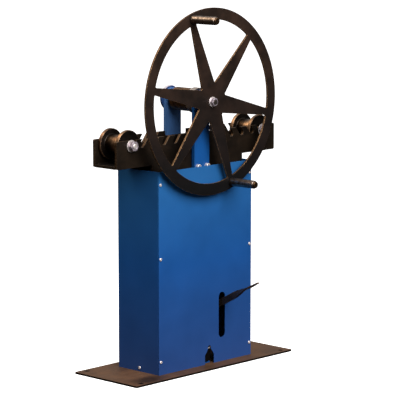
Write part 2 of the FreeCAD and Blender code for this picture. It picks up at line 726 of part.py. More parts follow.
def wheel_hub():
    back = -post_out - SEAT
    body = rod_y(HUB_DIA, -wheel_back, back, 0, axle_z)
    return body.cut([rod_y(SHAFT_DIA, -wheel_back - 1, back + 1, 0, axle_z), hub_key])


hub_key_start = -wheel_back + HUB_KEY_START
hub_key = shaft_key(hub_key_start, hub_key_start + HUB_KEY_LENGTH)
roller_middle = (roller_front + roller_back) / 2
roller_key = shaft_key(roller_middle - ROLLER_KEY_LENGTH / 2, roller_middle + ROLLER_KEY_LENGTH / 2)
spacer = rod_y(SPACER_DIA, roller_back, post_in - SLIDE, 0, axle_z)
hub_washer = rod_y(HUB_WASHER_DIA, -wheel_front - HUB_WASHER_THICK, -wheel_front, 0, axle_z)
nut_back = -wheel_front - HUB_WASHER_THICK
hub_nut = hexagon(HUB_NUT_FLATS, HUB_NUT_THICK, V(0, nut_back, axle_z), V(0, -1, 0))
stud_clearance = rod_y(STUD_DIA + 2 * RUN, nut_back - HUB_NUT_THICK - 1, -wheel_front + 1, 0, axle_z)
pieces["top_shaft"] = shaft()
pieces["top_roller"] = top_roller()
pieces["roller_spacer"] = spacer.cut(rod_y(SHAFT_DIA, roller_back - 1, post_in, 0, axle_z))
pieces["shaft_keys"] = group([hub_key, roller_key])
pieces["handwheel"] = handwheel()
pieces["wheel_hub"] = wheel_hub()
pieces["hub_washer"] = hub_washer.cut(stud_clearance)
pieces["hub_nut"] = hub_nut.cut(stud_clearance)


def grip(spoke):
    """Steel sleeve that turns on its bolt."""
    x, z = grip_place(spoke)
    back = -wheel_front - SEAT
    sleeve = rod_y(GRIP_DIA, back - GRIP_LENGTH, back, x, z)
    rims = [e for e in sleeve.Edges if abs(e.Length - math.pi * GRIP_DIA) < 0.01]
    sleeve = sleeve.makeFillet(GRIP_ROUND, rims)
    return sleeve.cut(rod_y(GRIP_BOLT_DIA + 2 * RUN, back - GRIP_LENGTH - 1, back + 1, x, z))


def grip_bolt(spoke):
    x, z = grip_place(spoke)
    head_back = -wheel_front - GRIP_LENGTH - 2 * SEAT
    shank = rod_y(GRIP_BOLT_DIA, head_back, -wheel_back + GRIP_NUT_THICK + 1, x, z)
    head = rod_y(GRIP_HEAD_DIA, head_back - GRIP_HEAD_THICK, head_back, x, z)
    rims = [e for e in head.Edges if abs(e.CenterOfMass.y - head_back + GRIP_HEAD_THICK) < 0.01]
    return shank.fuse(head.makeFillet(GRIP_HEAD_THICK / 2, rims))


def grip_nut(spoke):
    x, z = grip_place(spoke)
    nut = hexagon(GRIP_NUT_FLATS, GRIP_NUT_THICK, V(x, -wheel_back, z), V(0, 1, 0))
    return nut.cut(rod_y(GRIP_BOLT_DIA + 2 * RUN, -wheel_back - 1, -wheel_back + GRIP_NUT_THICK + 1, x, z))


pieces["upper_grip"] = grip(GRIP_SPOKES[0])
pieces["lower_grip"] = grip(GRIP_SPOKES[1])
pieces["grip_bolts"] = group([grip_bolt(spoke) for spoke in GRIP_SPOKES])
pieces["grip_nuts"] = group([grip_nut(spoke) for spoke in GRIP_SPOKES])


# Jack

def jack_bolt_places():
    y = jack_half_depth - JACK_BOLT_INSET
    ends = (-JACK_FLANGE_LEFT + JACK_BOLT_INSET, JACK_FLANGE_RIGHT - JACK_BOLT_INSET)
    return [(x, sy * y) for x in ends for sy in (-1, 1)]


def jack_base():
    """Cast foot: a flange, a round block under the cylinder and a boss under the pump."""
    flange_top = BASE_THICK + JACK_FLANGE_THICK
    body = box(-JACK_FLANGE_LEFT, JACK_FLANGE_RIGHT, -jack_half_depth, jack_half_depth, BASE_THICK, flange_top)
    body = round_edges(body, JACK_FLANGE_CORNER, lambda e: lies_along(e, V(0, 0, 1)))
    block = rod_z(block_dia, BASE_THICK, jack_top)
    boss = rod_z(PUMP_BOSS_DIA, BASE_THICK, pump_top, PUMP_X)
    bridge = box(0, PUMP_X, -PUMP_BOSS_DIA / 2, PUMP_BOSS_DIA / 2, BASE_THICK, pump_top)
    body = body.fuse([block, boss, bridge]).removeSplitter()
    cuts = [rod_z(JACK_BOLT_DIA + 2 * RUN, BASE_THICK - 1, flange_top + 1, x, y)
            for x, y in jack_bolt_places()]
    cuts.append(rod_z(PLUNGER_DIA + 2 * RUN, PLUNGER_WELL, pump_top + 1, PUMP_X))
    cuts.append(rod_y(VALVE_DIA + 2 * RUN, -block_dia / 2 - 1, valve_back, VALVE_X, valve_z))
    return body.cut(cuts)


def jack_bolt(x, y):
    seat = BASE_THICK + JACK_FLANGE_THICK
    shank = rod_z(JACK_BOLT_DIA, BASE_THICK, seat, x, y)
    return shank.fuse(hexagon(JACK_BOLT_FLATS, JACK_BOLT_HEAD, V(x, y, seat), V(0, 0, 1)))


def reservoir():
    tube = rod_z(RESERVOIR_DIA, jack_top, gland_z)
    tube = tube.cut(rod_z(RESERVOIR_DIA - 2 * RESERVOIR_WALL, jack_top - 1, gland_z + 1))
    wall = -RESERVOIR_DIA / 2
    return tube.cut(rod_x(PLUG_DIA + 2 * RUN, wall - 1, wall + 2 * RESERVOIR_WALL, 0, jack_top + PLUG_HEIGHT))


def gland():
    """Ring that closes the top of the jack, with a notched rim for its spanner."""
    top = gland_z + GLAND_THICK
    ring = rod_z(GLAND_DIA, gland_z, top - GLAND_NECK)
    ring = ring.fuse(rod_z(GLAND_DIA - 2 * GLAND_NECK, top - GLAND_NECK - 1, top)).removeSplitter()
    cuts = [rod_z(RAM_DIA + 2 * RUN, gland_z - 1, top + 1)]
    for k in range(GLAND_GROOVES):
        a = 2 * math.pi * k / GLAND_GROOVES
        x = GLAND_DIA / 2 * math.cos(a)
        y = GLAND_DIA / 2 * math.sin(a)
        cuts.append(rod_z(GLAND_NECK, gland_z - 1, top, x, y))
    return ring.cut(cuts)


def filler_plug():
    wall = -RESERVOIR_DIA / 2
    z = jack_top + PLUG_HEIGHT
    shank = rod_x(PLUG_DIA, wall - 1, wall + RESERVOIR_WALL, 0, z)
    head = rod_x(PLUG_HEAD_DIA, wall - 1 - PLUG_HEAD_THICK, wall - 1 + SEAT, 0, z)
    return shank.fuse(head)


cylinder = rod_z(CYLINDER_DIA, jack_top, gland_z)
pieces["jack_base"] = jack_base()
pieces["jack_bolts"] = group([jack_bolt(x, y) for x, y in jack_bolt_places()])
pieces["jack_reservoir"] = reservoir()
pieces["jack_cylinder"] = cylinder.cut(rod_z(RAM_DIA + 2 * RUN, jack_top - 1, gland_z + 1))
pieces["jack_gland"] = gland()
pieces["filler_plug"] = filler_plug()
pieces["jack_ram"] = rod_z(RAM_DIA, jack_top + RAM_BOTTOM, saddle_z)
pieces["ram_saddle"] = rod_z(SADDLE_DIA, saddle_z, pad_z)


# Foot pump

def dome_height():
    """Height of the dome's centre when the plunger's dome meets the underside of the lever."""
    angle = math.radians(PEDAL_ANGLE)
    offset = LEVER_DEPTH / 2 + DOME_RADIUS + SEAT
    return PIVOT_HEIGHT + PIVOT_Y * math.tan(angle) - offset / math.cos(angle)


def pump_plunger():
    """Rod with a spring cap and a round head that the lever pushes on."""
    top = dome_height()
    cap_low = top - CAP_DROP - CAP_THICK
    rod = rod_z(PLUNGER_DIA, PLUNGER_BOTTOM, cap_low + 1, PUMP_X)
    cap = rod_z(CAP_DIA, cap_low, cap_low + CAP_THICK, PUMP_X)
    head = rod_z(2 * DOME_RADIUS, cap_low + 1, top, PUMP_X)
    dome = Part.makeSphere(DOME_RADIUS, V(PUMP_X, 0, top), V(0, 0, 1), 0, 90, 360)
    return rod.fuse([cap, head, dome]).removeSplitter()


def arc_from(start, way, finish):
    """Arc that leaves start in the direction way and ends at finish."""
    chord = finish - start
    corner = start + way * (chord.dot(chord) / (2 * way.dot(chord)))
    half = chord.Length / 2
    outward = corner - (start + finish) * 0.5
    rise = half * ((corner - start).Length - half) / outward.Length
    crown = (start + finish) * 0.5 + outward * (rise / outward.Length)
    return Part.Arc(start, crown, finish).toShape()


def quarter_turn(start, start_way, finish, finish_way):
    """Two arcs that meet in one direction and share the bend from start to finish evenly."""
    chord = finish - start
    spread = 2 * (1 - start_way.dot(finish_way))
    lean = chord.dot(start_way + finish_way)
    reach = (math.sqrt(lean ** 2 + spread * chord.dot(chord)) - lean) / spread
    middle = (start + finish + (start_way - finish_way) * reach) * 0.5
    return [arc_from(start, start_way, middle), arc_from(finish, finish_way * -1, middle)]


def coil_point(radius, rise, angle):
    """Point on a coil that climbs by rise in a full turn, and the direction of the wire there."""
    climb = rise / (2 * math.pi)
    point = V(radius * math.cos(angle), radius * math.sin(angle), climb * angle)
    way = V(-radius * math.sin(angle), radius * math.cos(angle), climb)
    return point, way * (1 / way.Length)


def least_gap(radius, rise):
    """Smallest space between the wire and itself, on points that are at least half a turn apart."""
    count = SPRING_TURNS * SPRING_POINT_COUNT
    points = [coil_point(radius, rise, 2 * math.pi * k / SPRING_POINT_COUNT)[0] for k in range(count)]
    half_turn = SPRING_POINT_COUNT // 2
    return min((b - a).Length for i, a in enumerate(points) for b in points[i + half_turn:]) - SPRING_WIRE


def return_spring():
    """Coil round the pump barrel, from the jack's foot to the cap, as arcs of an eighth of a turn."""
    low = pump_top + SEAT + SPRING_WIRE / 2
    high = dome_height() - CAP_DROP - CAP_THICK - SEAT - SPRING_WIRE / 2
    radius = (SPRING_DIA - SPRING_WIRE) / 2
    rise = (high - low) / SPRING_TURNS
    stations = [coil_point(radius, rise, math.pi / 2 * k) for k in range(4 * SPRING_TURNS + 1)]
    arcs = []
    for (start, start_way), (finish, finish_way) in zip(stations, stations[1:]):
        arcs += quarter_turn(start, start_way, finish, finish_way)
    section = Part.Wire(Part.makeCircle(SPRING_WIRE / 2, stations[0][0], stations[0][1]))
    coil = Part.Wire(arcs).makePipeShell([section], True)
    coil.translate(V(PUMP_X, 0, low))
    print("return_spring: least gap between turns %.2f mm" % least_gap(radius, rise))
    return coil


barrel = rod_z(BARREL_DIA, pump_top, pump_top + BARREL_LENGTH, PUMP_X)
pieces["pump_barrel"] = barrel.cut(rod_z(PLUNGER_DIA + 2 * RUN, 0, pump_top + BARREL_LENGTH + 1, PUMP_X))
pieces["pump_plunger"] = pump_plunger()
pieces["return_spring"] = return_spring()


def lever_section(distance, twist, thick):
    """Rectangle across the lever, turned about the lever's own axis."""
    half_x = thick / 2
    half_z = LEVER_DEPTH / 2
    corners = ((-half_x, -half_z), (half_x, -half_z), (half_x, half_z), (-half_x, half_z), (-half_x, -half_z))
    wire = Part.makePolygon([V(x, 0, z) for x, z in corners])
    wire.rotate(V(0, 0, 0), V(0, 1, 0), twist)
    wire.translate(V(0, -distance, 0))
    return wire


def pedal_lever():
    """Flat bar on edge from the pivot through the slot, twisted a quarter turn into a flat toe."""
    bar = box(-LEVER_THICK / 2, LEVER_THICK / 2, -LEVER_STRAIGHT, 0, -LEVER_DEPTH / 2, LEVER_DEPTH / 2)
    sections = []
    for k in range(TWIST_STEP_COUNT + 1):
        share = k / TWIST_STEP_COUNT
        thick = LEVER_THICK + (TOE_THICK - LEVER_THICK) * share
        sections.append(lever_section(LEVER_STRAIGHT + LEVER_TWIST_LENGTH * share, 90 * share, thick))
    twist = Part.makeLoft(sections, True, True)
    toe_start = -LEVER_STRAIGHT - LEVER_TWIST_LENGTH
    tip = toe_start - TOE_LENGTH
    half = LEVER_DEPTH / 2
    nose = TOE_NOSE_RADIUS
    shoulder = toe_start - TOE_PARALLEL
    low = -TOE_THICK / 2
    corners = [V(-half, toe_start, low), V(-half, shoulder, low), V(-nose, tip + nose, low),
               V(nose, tip + nose, low), V(half, shoulder, low), V(half, toe_start, low)]
    edges = [Part.LineSegment(corners[k], corners[k + 1]).toShape() for k in (0, 1, 3, 4)]
    edges.insert(2, Part.Arc(corners[2], V(0, tip, low), corners[3]).toShape())
    edges.append(Part.LineSegment(corners[5], corners[0]).toShape())
    toe = Part.Face(Part.Wire(edges)).extrude(V(0, 0, TOE_THICK))
    boss = rod_x(LEVER_BOSS_DIA, -LEVER_BOSS_LENGTH / 2, LEVER_BOSS_LENGTH / 2)
    lever = bar.fuse([twist, toe, boss]).removeSplitter()
    lever = lever.cut(rod_x(PIVOT_PIN_DIA + 2 * RUN, -LEVER_BOSS_LENGTH, LEVER_BOSS_LENGTH))
    lever.rotate(V(0, 0, 0), V(1, 0, 0), -PEDAL_ANGLE)
    lever.translate(V(PUMP_X, PIVOT_Y, PIVOT_HEIGHT))
    return lever


def pedal_bracket():
    """Two ears on a foot, welded to the jack's flange behind the pump."""
    inner = LEVER_BOSS_LENGTH / 2 + SEAT
    outer = inner + EAR_THICK
    low = BASE_THICK + JACK_FLANGE_THICK
    y0 = PIVOT_Y - EAR_WIDTH / 2
    y1 = PIVOT_Y + EAR_WIDTH / 2
    body = box(PUMP_X - outer, PUMP_X + outer, y0, y1, low, low + EAR_FOOT_THICK)
    for x in (PUMP_X - outer, PUMP_X + inner):
        ear = box(x, x + EAR_THICK, y0, y1, low, PIVOT_HEIGHT)
        body = body.fuse([ear, rod_x(EAR_WIDTH, x, x + EAR_THICK, PIVOT_Y, PIVOT_HEIGHT)])
    pin_hole = rod_x(PIVOT_PIN_DIA, PUMP_X - outer - 1, PUMP_X + outer + 1, PIVOT_Y, PIVOT_HEIGHT)
    return body.removeSplitter().cut(pin_hole)


def pedal_pin():
    reach = LEVER_BOSS_LENGTH / 2 + SEAT + EAR_THICK
    shank = rod_x(PIVOT_PIN_DIA, PUMP_X - reach - PIVOT_PIN_HEAD, PUMP_X + reach, PIVOT_Y, PIVOT_HEIGHT)
    head = rod_x(PIVOT_PIN_HEAD_DIA, PUMP_X + reach, PUMP_X + reach + PIVOT_PIN_HEAD, PIVOT_Y, PIVOT_HEIGHT)
    return shank.fuse(head)


pieces["pedal_lever"] = pedal_lever()
pieces["pedal_bracket"] = pedal_bracket()
pieces["pedal_pin"] = pedal_pin()


# Release valve

def toe_lever():
    """Flat lever that hangs from the valve stem and is nudged by the operator's toe."""
    y0 = toe_lever_front
    y1 = toe_lever_front + TOE_LEVER_THICK
    hub = rod_y(TOE_LEVER_HUB_DIA, y0, y1, VALVE_X, valve_z)
    low = valve_z - TOE_LEVER_LENGTH
    outline = [(VALVE_X - TOE_LEVER_NECK / 2, valve_z), (VALVE_X - TOE_LEVER_FOOT / 2, low),
               (VALVE_X + TOE_LEVER_FOOT / 2, low), (VALVE_X + TOE_LEVER_NECK / 2, valve_z)]
    blade = plate(outline, y0, y1)
    body = hub.fuse(blade).removeSplitter()
    return body.cut(rod_y(VALVE_DIA, y0 - 1, y1 + 1, VALVE_X, valve_z))


stem_front = toe_lever_front - VALVE_NUT_THICK
valve_nut = hexagon(VALVE_NUT_FLATS, VALVE_NUT_THICK, V(VALVE_X, toe_lever_front, valve_z), V(0, -1, 0))
pieces["toe_lever"] = toe_lever()
pieces["valve_stem"] = rod_y(VALVE_DIA, stem_front, valve_back - SEAT, VALVE_X, valve_z)
pieces["valve_nut"] = valve_nut.cut(rod_y(VALVE_DIA, stem_front - 1, toe_lever_front + 1, VALVE_X, valve_z))

os.makedirs("parts", exist_ok=True)
for name, shape in pieces.items():
    shape.exportStep("parts/" + name + ".step")
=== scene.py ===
import math

import bmesh
import bpy
import numpy as np
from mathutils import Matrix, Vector


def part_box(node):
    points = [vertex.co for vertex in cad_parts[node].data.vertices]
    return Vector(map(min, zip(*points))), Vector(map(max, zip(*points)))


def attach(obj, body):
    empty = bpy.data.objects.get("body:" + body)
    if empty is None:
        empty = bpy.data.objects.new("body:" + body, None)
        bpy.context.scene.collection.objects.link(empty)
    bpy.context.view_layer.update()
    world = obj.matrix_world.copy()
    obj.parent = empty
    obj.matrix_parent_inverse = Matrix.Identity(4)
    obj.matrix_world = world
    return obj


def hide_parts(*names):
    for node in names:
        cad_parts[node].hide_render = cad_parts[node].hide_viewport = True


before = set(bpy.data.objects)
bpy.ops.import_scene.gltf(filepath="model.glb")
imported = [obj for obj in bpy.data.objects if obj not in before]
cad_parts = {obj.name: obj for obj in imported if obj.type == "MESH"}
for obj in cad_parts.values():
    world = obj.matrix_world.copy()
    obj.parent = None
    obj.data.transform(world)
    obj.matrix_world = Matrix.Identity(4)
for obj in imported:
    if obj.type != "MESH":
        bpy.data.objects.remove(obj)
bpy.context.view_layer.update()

# Ring roller on a pedestal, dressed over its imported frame. Metres, +Z up, the front is -Y.
# The sections follow the machine as it is put together, from the base plate to the pedal.
MM = 0.001


# Studio: a plain white floor and background. The part is lit by a sky that is white overhead and dark
# brown at the horizon, by one large soft light above its front, near enough to fade towards the floor,
# and by a weaker warm one above and behind.

def linear(code):
    """Colour from sRGB hex: a straight line near black and a power of 2.4 above it."""
    share = np.array([int(code[k:k + 2], 16) for k in (1, 3, 5)]) / 255
    low = share / 12.92
    high = ((share + 0.055) / 1.055) ** 2.4
    return (*np.where(share <= 0.04045, low, high), 1.0)


def add(tree, kind, inputs=None, **settings):
    """Adds a node with its settings, and fills its inputs with values or with links."""
    node = tree.nodes.new("ShaderNode" + kind)
    for name, value in settings.items():
        setattr(node, name, value)
    for key, value in (inputs or {}).items():
        if isinstance(value, bpy.types.NodeSocket):
            tree.links.new(value, node.inputs[key])
        else:
            node.inputs[key].default_value = value
    return node


def aimed(item, place, target):
    """Puts a light or the camera at a place and turns it to look at the target."""
    bpy.context.scene.collection.objects.link(item)
    item.location = place
    item.rotation_euler = (Vector(target) - Vector(place)).to_track_quat("-Z", "Y").to_euler()
    return item


def soft_light(name, watts, width, tint, place, target):
    """Square light, width metres wide, that faces the target."""
    light = bpy.data.lights.new(name, "AREA")
    light.energy = watts
    light.size = width
    light.color = tint
    aimed(bpy.data.objects.new(name, light), place, target)


camera = bpy.data.cameras.new("camera")
camera.lens = 192.58
camera.sensor_width = 36.0
view = aimed(bpy.data.objects.new("camera", camera), place=(-5.0085, -4.8715, 1.6153),
             target=(0.0722, 0.0070, 0.5400))
bpy.context.scene.camera = view
bpy.context.scene.view_settings.view_transform = "Standard"
soft_light("key", watts=192, width=2.6, tint=(1.0, 0.985, 0.96), place=(-0.62, -2.6, 2.65),
           target=(0, 0, 0.75))
soft_light("overhead", watts=24, width=1.4, tint=(1.0, 0.83, 0.62), place=(-0.9, 0.9, 2.5),
           target=(0, 0, 0.8))

world = bpy.data.worlds.new("studio")
bpy.context.scene.world = world
world.use_nodes = True
sky = world.node_tree
sky.nodes.clear()
seen = add(sky, "Background", {"Color": linear("#ffffff"), "Strength": 1.0})
way = add(sky, "TexCoord")
rise = add(sky, "SeparateXYZ", {0: way.outputs["Generated"]})
height = add(sky, "MapRange", {0: rise.outputs[2], 1: 0.0, 2: 0.8})
shade = add(sky, "Mix", {0: height.outputs[0], 6: linear("#38322d"), 7: linear("#ffffff")}, data_type="RGBA")
ambient = add(sky, "Background", {"Color": shade.outputs[2], "Strength": 0.68})
sight = add(sky, "LightPath")
blend = add(sky, "MixShader", {0: sight.outputs["Is Camera Ray"], 1: ambient.outputs[0], 2: seen.outputs[0]})
add(sky, "OutputWorld", {"Surface": blend.outputs[0]})


def blank(name):
    """New material with a Principled shader and nothing else."""
    material = bpy.data.materials.new(name)
    material.use_nodes = True
    tree = material.node_tree
    tree.nodes.clear()
    shader = add(tree, "BsdfPrincipled")
    add(tree, "OutputMaterial", {"Surface": shader.outputs[0]})
    return material, tree, shader


FLOOR_HALF = 60.0
FLOOR_GAP = 0.0005
floor_paint, _, floor_shader = blank("matt_white_floor")
floor_shader.inputs["Base Color"].default_value = linear("#f4f4f4")
floor_shader.inputs["Emission Color"].default_value = linear("#ffffff")
floor_shader.inputs["Emission Strength"].default_value = 0.85
floor_shader.inputs["Roughness"].default_value = 0.9
floor_shader.inputs["Specular IOR Level"].default_value = 0.1
floor_mesh = bpy.data.meshes.new("floor")
corners = [(x * FLOOR_HALF, y * FLOOR_HALF, -FLOOR_GAP) for x, y in ((-1, -1), (1, -1), (1, 1), (-1, 1))]
floor_mesh.from_pydata(corners, [], [(0, 1, 2, 3)])
floor_mesh.materials.append(floor_paint)
floor = bpy.data.objects.new("floor", floor_mesh)
bpy.context.scene.collection.objects.link(floor)
floor.visible_diffuse = False
floor.visible_glossy = False


# Base plate: quarter-inch hot rolled plate with its brown mill scale left on, lightly oiled.
# It was flame cut and its edges were knocked down with a grinder, which leaves them a little brighter.

def mottle(tree, size, detail=5.0, stretch=(1, 1, 1), roughness=0.55, shift=0.0):
    """Cloudy pattern on the piece, with patches about this many millimetres across."""
    place = add(tree, "TexCoord")
    scale = [factor / (size * MM) for factor in stretch]
    laid = add(tree, "Mapping", {"Vector": place.outputs["Object"], "Location": (shift, shift, shift),
                                 "Scale": scale})
    cloud = add(tree, "TexNoise", {"Vector": laid.outputs[0], "Scale": 1.0, "Detail": detail,
                                   "Roughness": roughness})
    return cloud.outputs[0]


def step_up(tree, value, low, high, out_low=0.0, out_high=1.0):
    """Spreads the part of a pattern between low and high over the range given, and holds the rest."""
    return add(tree, "MapRange", {0: value, 1: low, 2: high, 3: out_low, 4: out_high}).outputs[0]


def between(tree, share, first, second):
    """Mix of two colours, each a hex code or a socket."""
    pair = [linear(c) if isinstance(c, str) else c for c in (first, second)]
    return add(tree, "Mix", {0: share, 6: pair[0], 7: pair[1]}, data_type="RGBA").outputs[2]


def rough_relief(tree, height, depth):
    """Normal from a height pattern whose full range is this many millimetres deep."""
    return add(tree, "Bump", {"Height": height, "Strength": 1.0, "Distance": depth * MM}).outputs[0]


DARK_PATCH_MIDDLE = (-0.2846, -0.1043)
DARK_PATCH_REACH = (0.0769, 0.0435)
BORE_SHADE_INNER = 0.008
BORE_SHADE_OUTER = 0.010


def mill_scale(holes, middle):
    """Hot rolled scale: brown with cloudy darker patches, rust freckles and fine rolling streaks. What faces
    sideways or down is painted near black, painted shade over the dark flame cut sides; the bores are
    painted near black as painted shade, with a dark stain ring round each; and a ragged patch in front of
    the case's left corner is darker. holes is the anchor holes' distance from the plate's middle, along x
    and y, and middle is that middle's y."""
    material, tree, shader = blank("hot_rolled_mill_scale")
    clouds = mottle(tree, 90.0)
    streaks = mottle(tree, 3.0, 3.0, stretch=(0.03, 1, 1))
    freckles = mottle(tree, 5.0, 6.0, roughness=0.7, shift=3.0)
    grain = mottle(tree, 0.9, 2.0, shift=7.0)
    colour = between(tree, step_up(tree, clouds, 0.38, 0.62), "#453123", "#583f2d")
    colour = between(tree, step_up(tree, streaks, 0.45, 0.75, 0.0, 0.45), colour, "#6f5544")
    colour = between(tree, step_up(tree, freckles, 0.60, 0.72, 0.0, 0.8), colour, "#8a4e2a")
    place = add(tree, "TexCoord")
    # A ragged patch in front of the case's left corner is painted darker.
    dark_patch_place = add(tree, "Mapping", {"Vector": place.outputs["Object"], "Location": (*DARK_PATCH_MIDDLE, 0.0),
                                  "Scale": (*DARK_PATCH_REACH, 1.0)}, vector_type="TEXTURE")
    away = add(tree, "VectorMath", {0: dark_patch_place.outputs[0]}, operation="LENGTH")
    ragged = add(tree, "Math", {0: away.outputs["Value"], 1: freckles}, operation="ADD")
    colour = between(tree, step_up(tree, ragged.outputs[0], 1.7, 0.9, 0.0, 0.85), colour, "#1c120e")
    # The bores and a narrow ring round each are painted near black: painted shade in the bores, and a stain
    # ring on the top.
    level = add(tree, "VectorMath", {0: place.outputs["Object"], 1: (0, middle, 0)}, operation="SUBTRACT")
    quarter = add(tree, "VectorMath", {0: level.outputs[0]}, operation="ABSOLUTE")
    flat = add(tree, "VectorMath", {0: quarter.outputs[0], 1: (1, 1, 0)}, operation="MULTIPLY")
    off = add(tree, "VectorMath", {0: flat.outputs[0], 1: (*holes, 0)}, operation="DISTANCE")
    colour = between(tree, step_up(tree, off.outputs["Value"], BORE_SHADE_OUTER, BORE_SHADE_INNER), colour, "#0c0705")
    # Faces that do not face up are painted near black: painted shade over the dark flame cut sides.
    facing = add(tree, "SeparateXYZ", {0: place.outputs["Normal"]})
    colour = between(tree, step_up(tree, facing.outputs[2], 0.6, 0.3), colour, "#130b08")
    tree.links.new(colour, shader.inputs["Base Color"])
    shader.inputs["Specular IOR Level"].default_value = 0.15
    tree.links.new(step_up(tree, clouds, 0.3, 0.7, 0.42, 0.62), shader.inputs["Roughness"])
    tree.links.new(rough_relief(tree, grain, 0.06), shader.inputs["Normal"])
    return material


def ground_edge(name, dull, bright):
    """Edge rubbed down by hand: the finish broken through in patches to brighter steel."""
    material, tree, shader = blank(name)
    chips = mottle(tree, 6.0, 4.0, roughness=0.7)
    colour = between(tree, step_up(tree, chips, 0.42, 0.62), dull, bright)
    tree.links.new(colour, shader.inputs["Base Color"])
    shader.inputs["Metallic"].default_value = 0.6
    shader.inputs["Roughness"].default_value = 0.42
    return material


def dressed(piece, body, slot, *nodes):
    """Attaches a piece to the body that carries it and hides the nodes that it stands for; slot, its finish,
    is not used.
    """
    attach(piece, body)
    if nodes:
        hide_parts(*nodes)
    return piece


JOIN_WITHIN = 0.02 * MM
FLAT_WITHIN = math.radians(0.6)
SHARP_ABOVE = math.radians(35)


def eased(node, body, slot, radius, face, edge):
    """Merged copy of a node, its flat faces made whole and its sharp edges rounded by the radius in mm.
    The faces take the first material, and the narrow rounded edges take the second."""
    mesh = bpy.data.objects[node].data.copy()
    mesh.name = node + "_eased"
    mesh.materials.clear()
    mesh.materials.append(face)
    mesh.materials.append(edge)
    shape = bmesh.new()
    shape.from_mesh(mesh)
    for part in shape.faces:
        part.material_index = 0
    bmesh.ops.remove_doubles(shape, verts=shape.verts, dist=JOIN_WITHIN)
    bmesh.ops.dissolve_limit(shape, angle_limit=FLAT_WITHIN, verts=shape.verts, edges=shape.edges)
    shape.to_mesh(mesh)
    shape.free()
    mesh.shade_smooth()
    piece = bpy.data.objects.new(node + "_eased", mesh)
    bpy.context.scene.collection.objects.link(piece)
    rounding = piece.modifiers.new("rounding", "BEVEL")
    rounding.width = radius * MM
    rounding.segments = 2
    rounding.limit_method = "ANGLE"
    rounding.angle_limit = SHARP_ABOVE
    rounding.use_clamp_overlap = True
    rounding.material = 1
    flat = piece.modifiers.new("flat", "WEIGHTED_NORMAL")
    flat.keep_sharp = True
    return dressed(piece, body, slot, node)


ANCHOR_INSET = (38.5, 20.0)
base_low, base_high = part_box("base_plate")
anchor_places = [(base_high[k] - base_low[k]) / 2 - ANCHOR_INSET[k] * MM for k in (0, 1)]
scale_brown = mill_scale(anchor_places, (base_low[1] + base_high[1]) / 2)
scale_edge = ground_edge("ground_scale_edge", "#2c1d14", "#6b4c38")
eased("base_plate", "frame", "base_steel", 0.7, scale_brown, scale_edge)


# Tower: two flat bars welded to the base, with a guide plate between them. They are sprayed with satin
# blue enamel after welding. The rear bar is painted a paler blue than the front: painted light that lifts
# the shade it stands in.

PAINTED_LIGHT_HEIGHTS = (0.02, 0.36, 0.64)


def sprayed_enamel(name, low_colour, middle_colour, high_colour):
    """Sprayed enamel with orange peel about 2 mm across and faint dust nibs. Its colour changes with height,
    from the low colour near the floor through the middle one half way up to the high one at the top of the
    case: a painted light gradient."""
    material, tree, shader = blank(name)
    drift = mottle(tree, 160.0, 2.0)
    haze = mottle(tree, 28.0, 4.0, shift=4.0)
    peel = mottle(tree, 2.2, 1.0, shift=9.0)
    nibs = mottle(tree, 1.1, 1.0, shift=13.0)
    place = add(tree, "TexCoord")
    apart = add(tree, "SeparateXYZ", {0: place.outputs["Object"]})
    rise = apart.outputs[2]
    low, middle, high = PAINTED_LIGHT_HEIGHTS
    # Colour by height: a painted light gradient.
    colour = between(tree, step_up(tree, rise, low, middle), low_colour, middle_colour)
    colour = between(tree, step_up(tree, rise, middle, high), colour, high_colour)
    patchy = add(tree, "HueSaturation", {"Value": 1.16, "Color": colour})
    colour = between(tree, step_up(tree, drift, 0.35, 0.65), colour, patchy.outputs[0])
    colour = between(tree, step_up(tree, haze, 0.5, 0.8, 0.0, 0.25), colour, patchy.outputs[0])
    tree.links.new(colour, shader.inputs["Base Color"])
    tree.links.new(step_up(tree, haze, 0.3, 0.7, 0.36, 0.50), shader.inputs["Roughness"])
    height = add(tree, "Math", {0: peel, 1: step_up(tree, nibs, 0.70, 0.82, 0.0, 0.5)}, operation="ADD")
    tree.links.new(rough_relief(tree, height.outputs[0], 0.035), shader.inputs["Normal"])
    shader.inputs["Specular IOR Level"].default_value = 0.15
    return material


def on_frame(material, *nodes):
    """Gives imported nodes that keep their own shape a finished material."""
    for node in nodes:
        for place in bpy.data.objects[node].material_slots:
            place.link = "OBJECT"
            place.material = material


BEAD_SIDES = 10


def bead(path, radius, square_to):
    """Weld bead: a round cord of the radius in mm along the path, in metres. It swells by a tenth at each
    ripple, one and a half radii apart, as a sine does, and closes to a point at its ends by a root of one
    less a high power of the way from the middle. square_to is a direction that the path never takes."""
    path = np.asarray(path, float)
    steps = np.linalg.norm(np.diff(path, axis=0), axis=1)
    run = np.concatenate([[0.0], np.cumsum(steps)])
    count = max(int(run[-1] / (0.45 * radius * MM)), 8)
    place = np.linspace(0.0, run[-1], count)
    line = np.stack([np.interp(place, run, path[:, k]) for k in range(3)], axis=1)
    along = np.gradient(line, axis=0)
    along /= np.linalg.norm(along, axis=1)[:, None]
    first = np.cross(along, square_to)
    first /= np.linalg.norm(first, axis=1)[:, None]
    second = np.cross(along, first)
    ripple = 1.0 + 0.10 * np.sin(2 * np.pi * place / (1.5 * radius * MM))
    closed = np.sqrt(np.clip(1.0 - (np.abs(place / run[-1] - 0.5) * 2) ** 40, 0.0, 1.0))
    size = radius * MM * ripple * closed
    angle = 2 * np.pi * np.arange(BEAD_SIDES) / BEAD_SIDES
    round_first = np.cos(angle)[None, :, None] * first[:, None, :]
    round_second = np.sin(angle)[None, :, None] * second[:, None, :]
    return line[:, None, :] + size[:, None, None] * (round_first + round_second)


WELDED_WITHIN = 0.002 * MM


